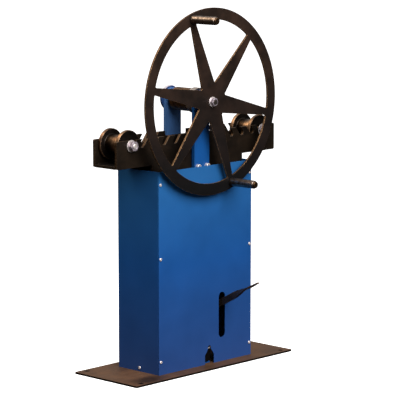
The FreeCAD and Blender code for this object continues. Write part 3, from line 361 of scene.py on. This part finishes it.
def formed(name, grids, material, crease=32.0):
    """Object from grids of points. Each grid closes round its columns, and its first and last rows either
    meet at a point or are the same row. Faces point outwards and edges sharper than crease stay sharp."""
    points = []
    faces = []
    start = 0
    for grid in grids:
        rows, columns = grid.shape[:2]
        points.append(grid.reshape(-1, 3))
        here = start + np.arange(rows * columns).reshape(rows, columns)
        beside = np.roll(here, -1, axis=1)
        faces.append(np.stack([here[:-1], beside[:-1], beside[1:], here[1:]], axis=2).reshape(-1, 4))
        start += rows * columns
    mesh = bpy.data.meshes.new(name)
    mesh.from_pydata(np.concatenate(points).tolist(), [], np.concatenate(faces).tolist())
    mesh.materials.append(material)
    shape = bmesh.new()
    shape.from_mesh(mesh)
    bmesh.ops.remove_doubles(shape, verts=shape.verts, dist=WELDED_WITHIN)
    bmesh.ops.recalc_face_normals(shape, faces=shape.faces)
    shape.to_mesh(mesh)
    shape.free()
    mesh.shade_smooth()
    mesh.set_sharp_from_angle(angle=math.radians(crease))
    piece = bpy.data.objects.new(name, mesh)
    bpy.context.scene.collection.objects.link(piece)
    return piece


def round_foot(low, high, rise):
    """Closed rectangular path round a box, this far above its foot."""
    z = low[2] + rise
    return [(low[0], low[1], z), (high[0], low[1], z), (high[0], high[1], z), (low[0], high[1], z),
            (low[0], low[1], z)]


tower_blue = sprayed_enamel("sprayed_blue_enamel_tower", "#114580", "#114580", "#114682")
blue_edge = ground_edge("thin_enamel_edge", "#1a467c", "#3d6494")
for node in ("front_post", "column_guide"):
    eased(node, "frame", "blue_enamel", 0.8, tower_blue, blue_edge)
# The rear bar's paler blue is painted light, lifting the shade it stands in.
rear_blue_painted_light = sprayed_enamel("sprayed_blue_enamel_rear_painted_lighter", "#42689e", "#42689e", "#42689e")
eased("rear_post", "frame", "blue_enamel", 0.8, rear_blue_painted_light, blue_edge)

TOWER_BEAD = 3.0
BEAD_RISE = 0.5 * MM
front_low, front_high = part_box("front_post")
rear_low, rear_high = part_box("rear_post")
guide_low, guide_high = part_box("column_guide")
welds = [bead(round_foot(low, high, BEAD_RISE), TOWER_BEAD, (0, 0, 1))
         for low, high in ((front_low, front_high), (rear_low, rear_high))]
for side in (front_high[1], rear_low[1]):
    for level in (guide_low[2], guide_high[2]):
        seam = [(guide_low[0], side, level), (guide_high[0], side, level)]
        welds.append(bead(seam, TOWER_BEAD, (0, 0, 1)))
dressed(formed("tower_welds", welds, tower_blue, 80), "frame", "blue_enamel")


# Bearings: a turned steel housing welded to each post, the front one left bare and the rear one sprayed
# with the post. Both hold bronze bushes, and two flat bronze strips guide the carriage. The bronze is
# oiled, so it looks golden brown rather than yellow.

def tool_rings(tree, place, axis, spacing):
    """Turning marks about spacing millimetres apart, as noise on the distance from the axis plus the place
    along it. The axis lies along y and is given by its x and z. Gives the distance, then the marks."""
    apart = add(tree, "SeparateXYZ", {0: place.outputs["Object"]})
    across = add(tree, "CombineXYZ", {0: apart.outputs[0], 2: apart.outputs[2]})
    offset = add(tree, "VectorMath", {0: across.outputs[0], 1: (axis[0], 0, axis[1])}, operation="SUBTRACT")
    out = add(tree, "VectorMath", {0: offset.outputs[0]}, operation="LENGTH")
    both = add(tree, "Math", {0: out.outputs["Value"], 1: apart.outputs[1]}, operation="ADD")
    marks = add(tree, "TexNoise", {"W": both.outputs[0], "Scale": 1 / (spacing * MM), "Detail": 2.0},
                noise_dimensions="1D")
    return out.outputs["Value"], marks.outputs[0]


def turned_metal(name, bright, dull, roughness, axis=None, spacing=0.8):
    """Turned metal: bright, with a brown film of oil and tool rings about the axis. With no axis the rings
    are left out and the metal is only clouded."""
    material, tree, shader = blank(name)
    film = mottle(tree, 14.0, 4.0, shift=2.0)
    fine = mottle(tree, 3.0, 3.0, stretch=(1, 4, 1), shift=5.0)
    colour = between(tree, step_up(tree, film, 0.38, 0.66), bright, dull)
    colour = between(tree, step_up(tree, fine, 0.5, 0.75, 0.0, 0.4), colour, dull)
    tree.links.new(colour, shader.inputs["Base Color"])
    shader.inputs["Metallic"].default_value = 1.0
    tree.links.new(step_up(tree, film, 0.3, 0.7, roughness, roughness + 0.14), shader.inputs["Roughness"])
    if axis:
        rings = tool_rings(tree, add(tree, "TexCoord"), axis, spacing)[1]
        tree.links.new(rough_relief(tree, rings, 0.05), shader.inputs["Normal"])
    return material


shaft_level = sum(corner[2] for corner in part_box("front_bearing_housing")) / 2
housing_steel = turned_metal("bare_turned_steel", "#d9cdc4", "#a3968b", 0.34, (0.0, shaft_level), 0.9)
housing_rim = ground_edge("broken_housing_rim", "#a89b90", "#e2d9d0")
eased("front_bearing_housing", "frame", "roller_steel", 0.5, housing_steel, housing_rim)


def enamel_with_painted_highlight():
    """Enamel on a round housing: blue, with a pale painted highlight in patches on what faces up."""
    material, tree, shader = blank("blue_enamel_painted_top_highlight")
    place = add(tree, "TexCoord")
    facing = add(tree, "SeparateXYZ", {0: place.outputs["Normal"]})
    highlight_patches = mottle(tree, 9.0, 4.0, roughness=0.65)
    patchy = step_up(tree, highlight_patches, 0.3, 0.7, -0.25, 0.25)
    # Pale on what faces up: a painted highlight.
    upward = add(tree, "Math", {0: facing.outputs[2], 1: patchy}, operation="ADD")
    colour = between(tree, step_up(tree, upward.outputs[0], 0.05, 0.45, 0.0, 0.85), "#243f70", "#d2ccd4")
    tree.links.new(colour, shader.inputs["Base Color"])
    tree.links.new(step_up(tree, highlight_patches, 0.3, 0.7, 0.38, 0.55), shader.inputs["Roughness"])
    shader.inputs["Specular IOR Level"].default_value = 0.2
    return material


blue_painted_highlight = enamel_with_painted_highlight()
eased("rear_bearing_housing", "frame", "blue_enamel", 0.6, blue_painted_highlight, blue_painted_highlight)
bronze = turned_metal("oiled_bronze", "#b5834a", "#6e4c28", 0.30)
on_frame(bronze, "shaft_bushes", "left_roller_bushes", "right_roller_bushes")
eased("gib_strips", "frame", "bronze", 0.4, bronze, bronze)


# Guide bolts: socket head bolts through each post into the bronze strips. They are bright zinc plated, as
# every other fastener is, so they shine out from the blue.

def about(centre, along, places, radii):
    """Grid of points round an axis: each row lies at its place along the axis, and each column at its
    angle round it, as far out as radii says. places and radii are arrays of rows by columns, in mm."""
    along = np.array(along, float)
    helper = (0.0, 1.0, 0.0) if abs(along[2]) > 0.9 else (0.0, 0.0, 1.0)
    across = np.cross(along, helper)
    across /= np.linalg.norm(across)
    other = np.cross(along, across)
    angle = 2 * np.pi * np.arange(radii.shape[1]) / radii.shape[1]
    spokes = np.cos(angle)[:, None] * across + np.sin(angle)[:, None] * other
    centre = np.array(centre, float)
    return centre + MM * (places[..., None] * along + radii[..., None] * spokes)


def turned(centre, along, profile, columns=48):
    """Surface swept round the axis from a profile of radii and places in mm. Either may also be an array
    with a value for each column, which lets that row follow a hexagon."""
    radii = np.array([np.broadcast_to(radius, columns) for radius, place in profile], float)
    places = np.array([np.broadcast_to(place, columns) for radius, place in profile], float)
    return about(centre, along, places, radii)


def hexagon_radius(flats, columns):
    """Distance from the axis to a hexagon's side at each angle: half the flats over the cosine of the
    angle from the middle of that side."""
    angle = 2 * np.pi * np.arange(columns) / columns
    return flats / 2 / np.cos(np.mod(angle, np.pi / 3) - np.pi / 6)


RIM_BREAK = 0.9


def socket_head(centre, along, dia, thick, flats, depth, columns=72):
    """Round head with a broken rim, and a hexagon socket sunk into it with a turned lead-in."""
    hexa = hexagon_radius(flats, columns)
    rim = dia / 2
    lead = 0.6 * flats
    return turned(centre, along, [(0, 0), (rim, 0), (rim, thick - RIM_BREAK), (rim - RIM_BREAK, thick),
                                  (lead, thick), (hexa, thick - (lead - hexa)), (hexa, thick - depth),
                                  (0, thick - depth)], columns)


def zinc_plate(name, bright, dull):
    """Bright zinc: silver clouded with another tint where the passivation is thicker, and finely pitted."""
    material, tree, shader = blank(name)
    patches = mottle(tree, 9.0, 3.0)
    pits = mottle(tree, 0.7, 2.0, shift=6.0)
    colour = between(tree, step_up(tree, patches, 0.40, 0.66), bright, dull)
    tree.links.new(colour, shader.inputs["Base Color"])
    shader.inputs["Metallic"].default_value = 0.6
    tree.links.new(step_up(tree, patches, 0.3, 0.7, 0.30, 0.42), shader.inputs["Roughness"])
    tree.links.new(rough_relief(tree, pits, 0.02), shader.inputs["Normal"])
    return material


def span(node, axis):
    """Lowest and highest place of a node along an axis, in mm."""
    low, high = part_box(node)
    return low[axis] / MM, high[axis] / MM


zinc = zinc_plate("bright_zinc_plate", "#ece5e6", "#cfc3bd")
GIB_BOLT_SPREAD = 21.0
GIB_HEAD = 18.0
GIB_SOCKET = 10.0
GIB_SOCKET_DEPTH = 6.5
GIB_SHANK_RADIUS = 6.0
GIB_SHANK = 16.0
gib_z = sum(span("gib_bolts", 2)) / 2 * MM
gib_front, gib_back = span("gib_bolts", 1)
post_front = span("front_post", 1)[0]
post_back = span("rear_post", 1)[1]
sides = ((post_front, -1, post_front - gib_front), (post_back, 1, gib_back - post_back))
shank = [(0, 0), (GIB_SHANK_RADIUS, 0), (GIB_SHANK_RADIUS, GIB_SHANK), (0, GIB_SHANK)]
heads = []
for x in (-GIB_BOLT_SPREAD, GIB_BOLT_SPREAD):
    for face, away, reach in sides:
        seat = (x * MM, face * MM, gib_z)
        heads.append(socket_head(seat, (0, away, 0), GIB_HEAD, reach, GIB_SOCKET, GIB_SOCKET_DEPTH))
        heads.append(turned(seat, (0, -away, 0), shank, 24))
dressed(formed("guide_strip_bolts", heads, zinc), "frame", "zinc_plate", "gib_bolts")


# Case: two millimetre sheet folded round the back and sides, closed by a flat cover with a slot for the
# pedal and a keyhole for the release lever. Pan head screws hold the cover and the sheet to its tabs.
# The case's blue is painted lighter towards the top: painted light.
case_blue = sprayed_enamel("sprayed_blue_enamel_case", "#254279", "#174886", "#20568c")
for node in ("case_shell", "front_cover", "case_tabs"):
    eased(node, "frame", "blue_enamel", 0.5, case_blue, blue_edge)


def pan_head(centre, along, dia, thick, columns=64):
    """Pan head: a flat-topped dome, as high as the root of one less the fourth power of the radius over the
    rim's own, with a cross recess that sinks smoothly between its four arms."""
    r = np.concatenate([np.linspace(0.0, 0.60, 22), np.linspace(0.64, 1.0, 12)]) * dia / 2
    radii = r[:, None] * np.ones((1, columns))
    angle = 2 * np.pi * np.arange(columns) / columns
    off_arm = np.minimum(np.abs(radii * np.sin(angle)), np.abs(radii * np.cos(angle)))
    in_arm = np.clip((0.085 * dia - off_arm) / (0.03 * dia), 0, 1)
    recess = in_arm * np.clip((0.30 * dia - radii) / (0.05 * dia), 0, 1)
    dome = thick * np.sqrt(np.clip(1 - (radii / (dia / 2)) ** 4, 0, 1))
    top = about(centre, along, dome - 0.6 * thick * recess, radii)[::-1]
    under = about(centre, along, np.zeros((1, columns)), np.zeros((1, columns)))
    return np.concatenate([under, top])


def head_middles(node, axis, dia):
    """Middles of a group's outermost heads along an axis, from its box and the head's width."""
    low, high = span(node, axis)
    return low + dia / 2, high - dia / 2


SCREW_HEAD = 11.0
SCREW_HEAD_THICK = 3.2
COVER_MIDDLE_RISE = 380.5
screw_lines = head_middles("cover_screws", 0, SCREW_HEAD)
screw_levels = (*head_middles("cover_screws", 2, SCREW_HEAD), span("front_cover", 2)[0] + COVER_MIDDLE_RISE)
cover_face = span("front_cover", 1)[0]
heads = [pan_head((x * MM, cover_face * MM, z * MM), (0, -1, 0), SCREW_HEAD, SCREW_HEAD_THICK)
         for x in screw_lines for z in screw_levels]
dressed(formed("cover_pan_screws", heads, zinc, 50), "frame", "zinc_plate", "cover_screws")
side_x = span("case_shell", 0)[1]
back_y = span("case_shell", 1)[1]
tab_z = sum(span("tab_screws", 2)) / 2 * MM
tab_places = [((side_x * MM, 0, tab_z), (1, 0, 0)), ((-side_x * MM, 0, tab_z), (-1, 0, 0)),
              ((0, back_y * MM, tab_z), (0, 1, 0))]
heads = [pan_head(at, away, SCREW_HEAD, SCREW_HEAD_THICK) for at, away in tab_places]
dressed(formed("side_pan_screws", heads, zinc, 50), "frame", "zinc_plate", "tab_screws")


# Bottle jack on the base plate: a cast foot, a steel reservoir round the cylinder, and a screwed gland.
# The casting is rough under its paint, the reservoir is gloss black, and the ram is bare and oily.

def cast_paint():
    """Brushed black paint over a sand casting: pebbly, with thin grey dust in patches."""
    material, tree, shader = blank("painted_casting")
    pebbles = mottle(tree, 1.8, 3.0)
    wear = mottle(tree, 20.0, 5.0, shift=3.0)
    colour = between(tree, step_up(tree, wear, 0.55, 0.72), "#1b1b1c", "#3c3733")
    tree.links.new(colour, shader.inputs["Base Color"])
    shader.inputs["Roughness"].default_value = 0.55
    tree.links.new(rough_relief(tree, pebbles, 0.25), shader.inputs["Normal"])
    return material


def gloss_paint():
    """Gloss black tube: smooth paint with a little orange peel and fine wiping marks."""
    material, tree, shader = blank("gloss_black_tube")
    wipe = mottle(tree, 6.0, 4.0, stretch=(1, 1, 0.15))
    peel = mottle(tree, 2.0, 1.0, shift=5.0)
    tree.links.new(between(tree, wipe, "#0d0d0f", "#1c1c20"), shader.inputs["Base Color"])
    tree.links.new(step_up(tree, wipe, 0.3, 0.7, 0.16, 0.32), shader.inputs["Roughness"])
    tree.links.new(rough_relief(tree, peel, 0.03), shader.inputs["Normal"])
    return material


cast = cast_paint()
eased("jack_base", "frame", "jack_iron", 1.2, cast, cast)
eased("jack_gland", "frame", "jack_iron", 0.6, cast, cast)
on_frame(gloss_paint(), "jack_reservoir")
ground_steel = turned_metal("ground_steel", "#b9b4ad", "#7f776e", 0.22, (0.0, 0.0), 0.6)
on_frame(ground_steel, "jack_ram", "ram_saddle", "jack_cylinder")

rubber, rubber_tree, rubber_shader = blank("moulded_black_rubber")
rubber_shader.inputs["Roughness"].default_value = 0.75
rubber_tone = between(rubber_tree, mottle(rubber_tree, 2.0, 3.0), "#141414", "#2a2927")
rubber_tree.links.new(rubber_tone, rubber_shader.inputs["Base Color"])
on_frame(rubber, "filler_plug")


def corner_fall(hexa, cone):
    """How far down a 30 degree cone turns a hexagon's corners off: its tangent of what lies past it."""
    return np.clip(hexa - cone, 0, None) * math.tan(math.radians(30))


CROWN_DIP = 0.25


def bolt_head(centre, along, flats, thick, columns=72):
    """Hexagon head: flat under, with its corners turned off on top and a shallow dip in its crown."""
    hexa = hexagon_radius(flats, columns)
    cone = 0.475 * flats
    return turned(centre, along, [(0, 0), (hexa, 0), (hexa, thick - corner_fall(hexa, cone)), (cone, thick),
                                  (0.42 * flats, thick - CROWN_DIP), (0, thick - CROWN_DIP)], columns)


JACK_BOLT_FLATS = 17.0
JACK_FLANGE = 9.0
bolt_low, bolt_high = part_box("jack_bolts")
seat_z = span("jack_base", 2)[0] + JACK_FLANGE
head_thick = bolt_high[2] / MM - seat_z
half_corner = JACK_BOLT_FLATS / math.sqrt(3)
bolt_x = (bolt_low[0] / MM + half_corner, bolt_high[0] / MM - half_corner)
bolt_y = (bolt_low[1] / MM + JACK_BOLT_FLATS / 2, bolt_high[1] / MM - JACK_BOLT_FLATS / 2)
heads = [bolt_head((x * MM, y * MM, seat_z * MM), (0, 0, 1), JACK_BOLT_FLATS, head_thick)
         for x in bolt_x for y in bolt_y]
dressed(formed("jack_foot_bolts", heads, zinc), "frame", "zinc_plate", "jack_bolts")


# Foot pump: a steel barrel on the jack's foot, a plunger with a round head and cap, and the coiled spring
# that lifts the pedal again. All are bright steel under a film of oil, and the valve's stem is too.
oiled_steel = turned_metal("oiled_bright_steel", "#8f8880", "#57504a", 0.28)
on_frame(oiled_steel, "pump_plunger", "pump_barrel", "valve_stem")
spring_wire = turned_metal("oiled_spring_wire", "#6e6c6a", "#35332f", 0.30)
on_frame(spring_wire, "return_spring")


# Carriage: two notched plates on a floor plate, with webs and a lift column under them, welded in short
# stitches. They are laser cut and blackened hot, so the flats are a deep brown black and the cut edges
# keep a lighter bronze tone.

def blackened_plate(name, flat_dark, flat_light, cut_dark, cut_light, shine, thin_axis=1, shade_heights=None):
    """Hot blackened plate. Faces that turn away from the plate's thin axis are cut edges: they are lighter
    and have fine upright lines about 0.9 mm apart, drawn coarser than the real 0.3 mm so that they show.
    Its last argument is two heights, between which the flats turn from nearly black to their own brown:
    painted shade, darker towards the bottom."""
    material, tree, shader = blank(name)
    clouds = mottle(tree, 70.0, 5.0)
    smears = mottle(tree, 16.0, 5.0, stretch=(0.35, 1, 1), roughness=0.65, shift=4.0)
    grain = mottle(tree, 1.0, 3.0, shift=8.0)
    along_cut = [1.0, 1.0, 1.0]
    along_cut[thin_axis] = 0.04
    lines = mottle(tree, 0.9, 2.0, stretch=along_cut, shift=11.0)
    flat = between(tree, step_up(tree, clouds, 0.36, 0.64), flat_dark, flat_light)
    flat = between(tree, step_up(tree, smears, 0.52, 0.78, 0.0, 0.5), flat, cut_dark)
    cut = between(tree, step_up(tree, lines, 0.35, 0.65), cut_dark, cut_light)
    place = add(tree, "TexCoord")
    # Darker towards the bottom between the two heights: painted shade.
    if shade_heights:
        level = add(tree, "SeparateXYZ", {0: place.outputs["Object"]})
        flat = between(tree, step_up(tree, level.outputs[2], *shade_heights), "#100f10", flat)
    facing = add(tree, "SeparateXYZ", {0: place.outputs["Normal"]})
    square = add(tree, "Math", {0: facing.outputs[thin_axis]}, operation="ABSOLUTE")
    is_cut = step_up(tree, square.outputs[0], 0.5, 0.2)
    tree.links.new(between(tree, is_cut, flat, cut), shader.inputs["Base Color"])
    tree.links.new(step_up(tree, is_cut, 0.0, 1.0, 0.15, 0.7), shader.inputs["Metallic"])
    tree.links.new(step_up(tree, smears, 0.3, 0.7, 0.40, 0.56), shader.inputs["Roughness"])
    height = add(tree, "Mix", {0: is_cut, 2: grain, 3: lines}, data_type="FLOAT")
    tree.links.new(rough_relief(tree, height.outputs[0], 0.05), shader.inputs["Normal"])
    shader.inputs["Specular IOR Level"].default_value = shine
    return material


plate_black = blackened_plate("hot_blackened_plate", "#130e0a", "#1e160f", "#2a1d13", "#5e4731", 0.13)
plate_edge = ground_edge("blackened_plate_edge", "#221b17", "#5c4c3e")
for node in ("beam_front_plate", "beam_rear_plate"):
    eased(node, "carriage", "black_steel", 0.6, plate_black, plate_edge)
floor_black = blackened_plate("blackened_floor_plate", "#110e0c", "#1b1613", "#2a221c", "#443629", 0.16,
                              thin_axis=2)
eased("beam_floor", "carriage", "black_steel", 0.6, floor_black, plate_edge)
web_black = blackened_plate("blackened_web_plate", "#15110f", "#201a17", "#2a221c", "#443629", 0.16,
                            thin_axis=0)
eased("beam_webs", "carriage", "black_steel", 0.6, web_black, plate_edge)
eased("lift_column", "carriage", "black_steel", 0.5, web_black, plate_edge)
eased("column_pad", "carriage", "black_steel", 0.8, floor_black, plate_edge)

floor_low, floor_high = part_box("beam_floor")
STITCH = 0.045
STITCH_GAP = 0.085
STITCH_START = 0.012
STITCH_BEAD = 2.4
seams = []
for x in np.arange(floor_low[0] + STITCH_START, floor_high[0] - STITCH, STITCH_GAP + STITCH):
    for y in (floor_low[1], floor_high[1]):
        for z in (floor_low[2], floor_high[2]):
            seams.append(bead([(x, y, z), (x + STITCH, y, z)], STITCH_BEAD, (0, 0, 1)))
dressed(formed("carriage_welds", seams, floor_black, 80), "carriage", "black_steel")


# Side rollers: spools turned from bar on bronze bushes. Work has polished the rims and the hub to a
# golden brown, and the flange faces are painted near black as a painted dark reflection.

HUB_SHADE_FADE = 0.002
HUB_SHADE_SPREAD = 0.008


def roller_wear_and_painted_shade(name, axis, middle, reach):
    """The faces square to the axle are painted near black, a painted dark reflection, with tool rings about
    the axle. The rim and hub are polished by the work, with streaks round them, and the hub's rear half is
    painted near black as painted shade. axis is the axle's x and z, middle is the hub's y, and reach is the
    radius that this painted shade stays within."""
    material, tree, shader = blank(name)
    film = mottle(tree, 30.0, 3.0)
    streaks = mottle(tree, 1.6, 3.0, stretch=(0.12, 1, 0.12), shift=3.0)
    place = add(tree, "TexCoord")
    facing = add(tree, "SeparateXYZ", {0: place.outputs["Normal"]})
    square = add(tree, "Math", {0: facing.outputs[1]}, operation="ABSOLUTE")
    is_face = step_up(tree, square.outputs[0], 0.55, 0.85)
    tree.links.new(step_up(tree, is_face, 0.0, 1.0, 1.0, 0.5), shader.inputs["Metallic"])
    tree.links.new(step_up(tree, film, 0.3, 0.7, 0.26, 0.42), shader.inputs["Roughness"])
    out, rings = tool_rings(tree, place, axis, spacing=0.8)
    tree.links.new(rough_relief(tree, rings, 0.06), shader.inputs["Normal"])
    apart = add(tree, "SeparateXYZ", {0: place.outputs["Object"]})
    # The hub's rear half is painted near black: painted shade.
    inner = step_up(tree, out, reach, reach - HUB_SHADE_FADE)
    rear = step_up(tree, apart.outputs[1], middle - HUB_SHADE_SPREAD, middle + HUB_SHADE_SPREAD, 0.0, 0.85)
    hub_shade = add(tree, "Math", {0: inner, 1: rear}, operation="MULTIPLY")
    rim = between(tree, step_up(tree, film, 0.40, 0.62), "#b8906c", "#5c3f2c")
    rim = between(tree, step_up(tree, streaks, 0.50, 0.80, 0.0, 0.35), rim, "#5c3f2c")
    rim = between(tree, hub_shade.outputs[0], rim, "#120c08")
    # The faces square to the axle are painted near black: a painted dark reflection.
    face = between(tree, step_up(tree, film, 0.38, 0.66), "#0d0a08", "#1a120e")
    tree.links.new(between(tree, is_face, rim, face), shader.inputs["Base Color"])
    return material


HUB_SHADE_INSET = 0.005
roller_edge = ground_edge("polished_roller_edge", "#4a3526", "#94745a")
for side in ("left", "right"):
    low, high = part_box(side + "_roller")
    middle = [(low[k] + high[k]) / 2 for k in range(3)]
    reach = (high[2] - low[2]) / 2 - HUB_SHADE_INSET
    finish = roller_wear_and_painted_shade(side + "_roller_steel", (middle[0], middle[2]), middle[1], reach)
    eased(side + "_roller", side + "_roller", "roller_steel", 0.4, finish, roller_edge)


# Axle bolts: three-quarter inch bolts with their heads at the back, a washer at each end and a nut in
# front with two threads standing proud. The nuts are zinc plated too, with a lilac passivation.

COUNTERSINK = 0.8


def nut(centre, along, flats, thick, bore, columns=72):
    """Hexagon nut whose corners are turned off at both ends, bored and countersunk. bore is a radius."""
    hexa = hexagon_radius(flats, columns)
    cone = 0.485 * flats
    fall = corner_fall(hexa, cone)
    return turned(centre, along, [(bore, 0), (cone, 0), (hexa, fall), (hexa, thick - fall), (cone, thick),
                                  (bore * 1.1, thick), (bore, thick - COUNTERSINK), (bore, 0)], columns)


def thread(centre, along, dia, pitch, start, end, columns=40):
    """Rolled thread: the radius falls by 0.6 of the pitch between crests that climb one pitch a turn, and
    the last turn runs out into a cone with a flat end."""
    rows = int((end - start) / pitch * 8) + 2
    t = np.linspace(start, end, rows)[:, None]
    turn = np.arange(columns)[None, :] / columns
    wave = np.abs(np.mod(t / pitch - turn, 1.0) * 2 - 1)
    crest = dia / 2 - 0.6 * pitch * np.clip(wave - 0.15, 0, 0.7)
    crest = np.minimum(crest, dia / 2 - np.clip(t - end + pitch, 0, None))
    same = np.ones((1, columns))
    radii = np.concatenate([0 * same, crest, 0 * same])
    places = np.concatenate([start * same, t * same, end * same])
    return about(centre, along, places, radii)


WASHER_BREAK = 0.4


def washer(centre, along, outer, bore, thick, columns=56):
    """Flat washer between two radii, with its edges broken, but not the one of its bore that is seated."""
    r = WASHER_BREAK
    section = [(bore, 0), (outer - r, 0), (outer, r), (outer, thick - r), (outer - r, thick),
               (bore + r, thick), (bore, thick - r), (bore, 0)]
    return turned(centre, along, section, columns)


AXLE_FLATS = 28.6
AXLE_RADIUS = 19.05 / 2
AXLE_PITCH = 2.54
AXLE_WASHER_RADIUS = 39.0 / 2
AXLE_WASHER_THICK = 3.4
SHANK_SHORT = 1.0
CLEARANCE = 0.05
zinc_nut = zinc_plate("lilac_passivated_zinc", "#b9adb6", "#8f8590")
nut_front, nut_back = span("axle_nuts", 1)
washer_front, washer_back = span("axle_washers", 1)
tip, head_back = span("axle_bolts", 1)
axle_level = sum(span("left_roller", 2)) / 2 * MM
shank_end = washer_back - nut_back - SHANK_SHORT
shank = [(0, 0), (AXLE_RADIUS, 0), (AXLE_RADIUS, shank_end), (0, shank_end)]
bolts = []
washers = []
nuts = []
for side in ("left", "right"):
    x = sum(span(side + "_roller", 0)) / 2 * MM
    front = (x, nut_back * MM, axle_level)
    back = (x, washer_back * MM, axle_level)
    nuts.append(nut(front, (0, -1, 0), AXLE_FLATS, nut_back - nut_front, AXLE_RADIUS))
    for y, away in ((washer_front, 1), (washer_back, -1)):
        washers.append(washer((x, y * MM, axle_level), (0, away, 0), AXLE_WASHER_RADIUS,
                              AXLE_RADIUS + CLEARANCE, AXLE_WASHER_THICK))
    bolts.append(bolt_head(back, (0, 1, 0), AXLE_FLATS, head_back - washer_back))
    bolts.append(turned(back, (0, -1, 0), shank, 40))
    bolts.append(thread(front, (0, -1, 0), 2 * AXLE_RADIUS, AXLE_PITCH, 0.0, nut_back - tip))
dressed(formed("axle_bolts_threaded", bolts, zinc), "carriage", "zinc_plate", "axle_bolts")
dressed(formed("axle_washers_turned", washers, zinc), "carriage", "zinc_plate", "axle_washers")
dressed(formed("axle_nuts_turned", nuts, zinc_nut), "carriage", "zinc_plate", "axle_nuts")


# Top roller: a plain drum keyed to the wheel's shaft between the two housings, with a spacer behind it.
# It is turned steel, browned by handling and polished by the work.
wheel_low, wheel_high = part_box("handwheel")
wheel_z = (wheel_low[2] + wheel_high[2]) / 2
drum_steel = turned_metal("browned_turned_steel", "#9a7048", "#4a3222", 0.34, (0.0, wheel_z), 0.9)
eased("top_roller", "wheel", "roller_steel", 0.3, drum_steel, roller_edge)
bright_shaft = turned_metal("bright_drawn_shaft", "#b3aca3", "#7b7168", 0.24, (0.0, wheel_z), 0.7)
on_frame(bright_shaft, "top_shaft", "roller_spacer", "shaft_keys")


# Handwheel: one plate, laser cut with six tapering spokes and blackened, on a round hub that is welded
# to its back. A washer and nut on the shaft's stud hold it.
# The wheel's flats are painted darker towards the bottom as painted shade.
wheel_black = blackened_plate("hot_blackened_wheel", "#1e1612", "#31231c", "#2c1f17", "#86684a", 0.14,
                              shade_heights=(0.62, 1.02))
wheel_edge = ground_edge("blackened_wheel_edge", "#3a291e", "#a5805c")
eased("handwheel", "wheel", "black_steel", 0.7, wheel_black, wheel_edge)
eased("wheel_hub", "wheel", "black_steel", 0.8, wheel_black, wheel_edge)


def half_width(node):
    """Half of a node's width along x, in mm."""
    low, high = span(node, 0)
    return (high - low) / 2


HUB_NUT_FLATS = 24.0
STUD_RADIUS = 15.9 / 2
HUB_BEAD = 2.6
nut_tip, nut_seat = span("hub_nut", 1)
washer_seat = span("hub_washer", 1)[1]
bore = STUD_RADIUS + CLEARANCE
hub_nut = nut((0, nut_seat * MM, wheel_z), (0, -1, 0), HUB_NUT_FLATS, nut_seat - nut_tip, bore)
dressed(formed("hub_nut_turned", [hub_nut], zinc_nut), "wheel", "zinc_plate", "hub_nut")
hub_washer = washer((0, washer_seat * MM, wheel_z), (0, -1, 0), half_width("hub_washer"), bore,
                    washer_seat - nut_seat)
dressed(formed("hub_washer_turned", [hub_washer], zinc), "wheel", "zinc_plate", "hub_washer")
turn = np.linspace(0, 2 * np.pi, 73)
radius = half_width("wheel_hub")
joint = np.full_like(turn, span("wheel_hub", 1)[0] * MM)
ring = np.stack([radius * np.cos(turn) * MM, joint, wheel_z + radius * np.sin(turn) * MM], axis=1)
dressed(formed("hub_weld", [bead(ring, HUB_BEAD, (0, 1, 0))], wheel_black, 80), "wheel", "black_steel")


# Crank grips: two steel sleeves that turn on bolts through the rim, with a nut behind. They are dark
# with oil, and a thin brown film of rust shows where the hand rubs.
grip_steel = turned_metal("oil_dark_steel", "#97867a", "#54463b", 0.28)
grip_end = ground_edge("rubbed_grip_end", "#4d3a28", "#86684a")
for node in ("upper_grip", "lower_grip"):
    eased(node, node, "grip_steel", 0.4, grip_steel, grip_end)
head_brown = turned_metal("browned_bolt_head", "#6e5238", "#33261b", 0.34)
on_frame(head_brown, "grip_bolts", "grip_nuts")


# Pedal and toe lever: a flat bar twisted a quarter turn into a toe with a round nose, forged, dark with
# oil and rubbed bright at the toe. It swings on a pin in a bracket of blackened plate. The toe lever is
# cut from plate, clamped to the valve by a nut, and painted near black as painted shade for its notch.

TOE_START = -0.19
TOE_BRIGHT = -0.30


def forged_bar():
    """Forged bar: dark scale that has worn through to brown steel along the toe."""
    material, tree, shader = blank("forged_pedal_steel")
    dents = mottle(tree, 9.0, 3.0)
    scale = mottle(tree, 2.5, 5.0, shift=4.0)
    place = add(tree, "TexCoord")
    apart = add(tree, "SeparateXYZ", {0: place.outputs["Object"]})
    toe = step_up(tree, apart.outputs[1], TOE_START, TOE_BRIGHT)
    worn = add(tree, "Math", {0: toe, 1: step_up(tree, scale, 0.38, 0.58)}, operation="MULTIPLY")
    dark = between(tree, step_up(tree, scale, 0.4, 0.65), "#1d1816", "#3b302a")
    tree.links.new(between(tree, worn.outputs[0], dark, "#7a5c4c"), shader.inputs["Base Color"])
    shader.inputs["Metallic"].default_value = 0.55
    tree.links.new(step_up(tree, scale, 0.3, 0.7, 0.38, 0.56), shader.inputs["Roughness"])
    tree.links.new(rough_relief(tree, dents, 0.3), shader.inputs["Normal"])
    return material


pedal_steel = forged_bar()
pedal_edge = ground_edge("rubbed_pedal_edge", "#4a3b34", "#8c7264")
eased("pedal_lever", "pedal", "grip_steel", 0.6, pedal_steel, pedal_edge)
eased("pedal_bracket", "frame", "black_steel", 0.6, web_black, plate_edge)
# The toe lever is painted near black: painted shade for its notch.
toe_black_shaded = blackened_plate("notch_shaded_black_toe_lever", "#080706", "#0d0b0a", "#0d0a08", "#1d1814", 0.06)
eased("toe_lever", "release", "black_steel", 0.5, toe_black_shaded, toe_black_shaded)
on_frame(zinc, "pedal_pin", "valve_nut")
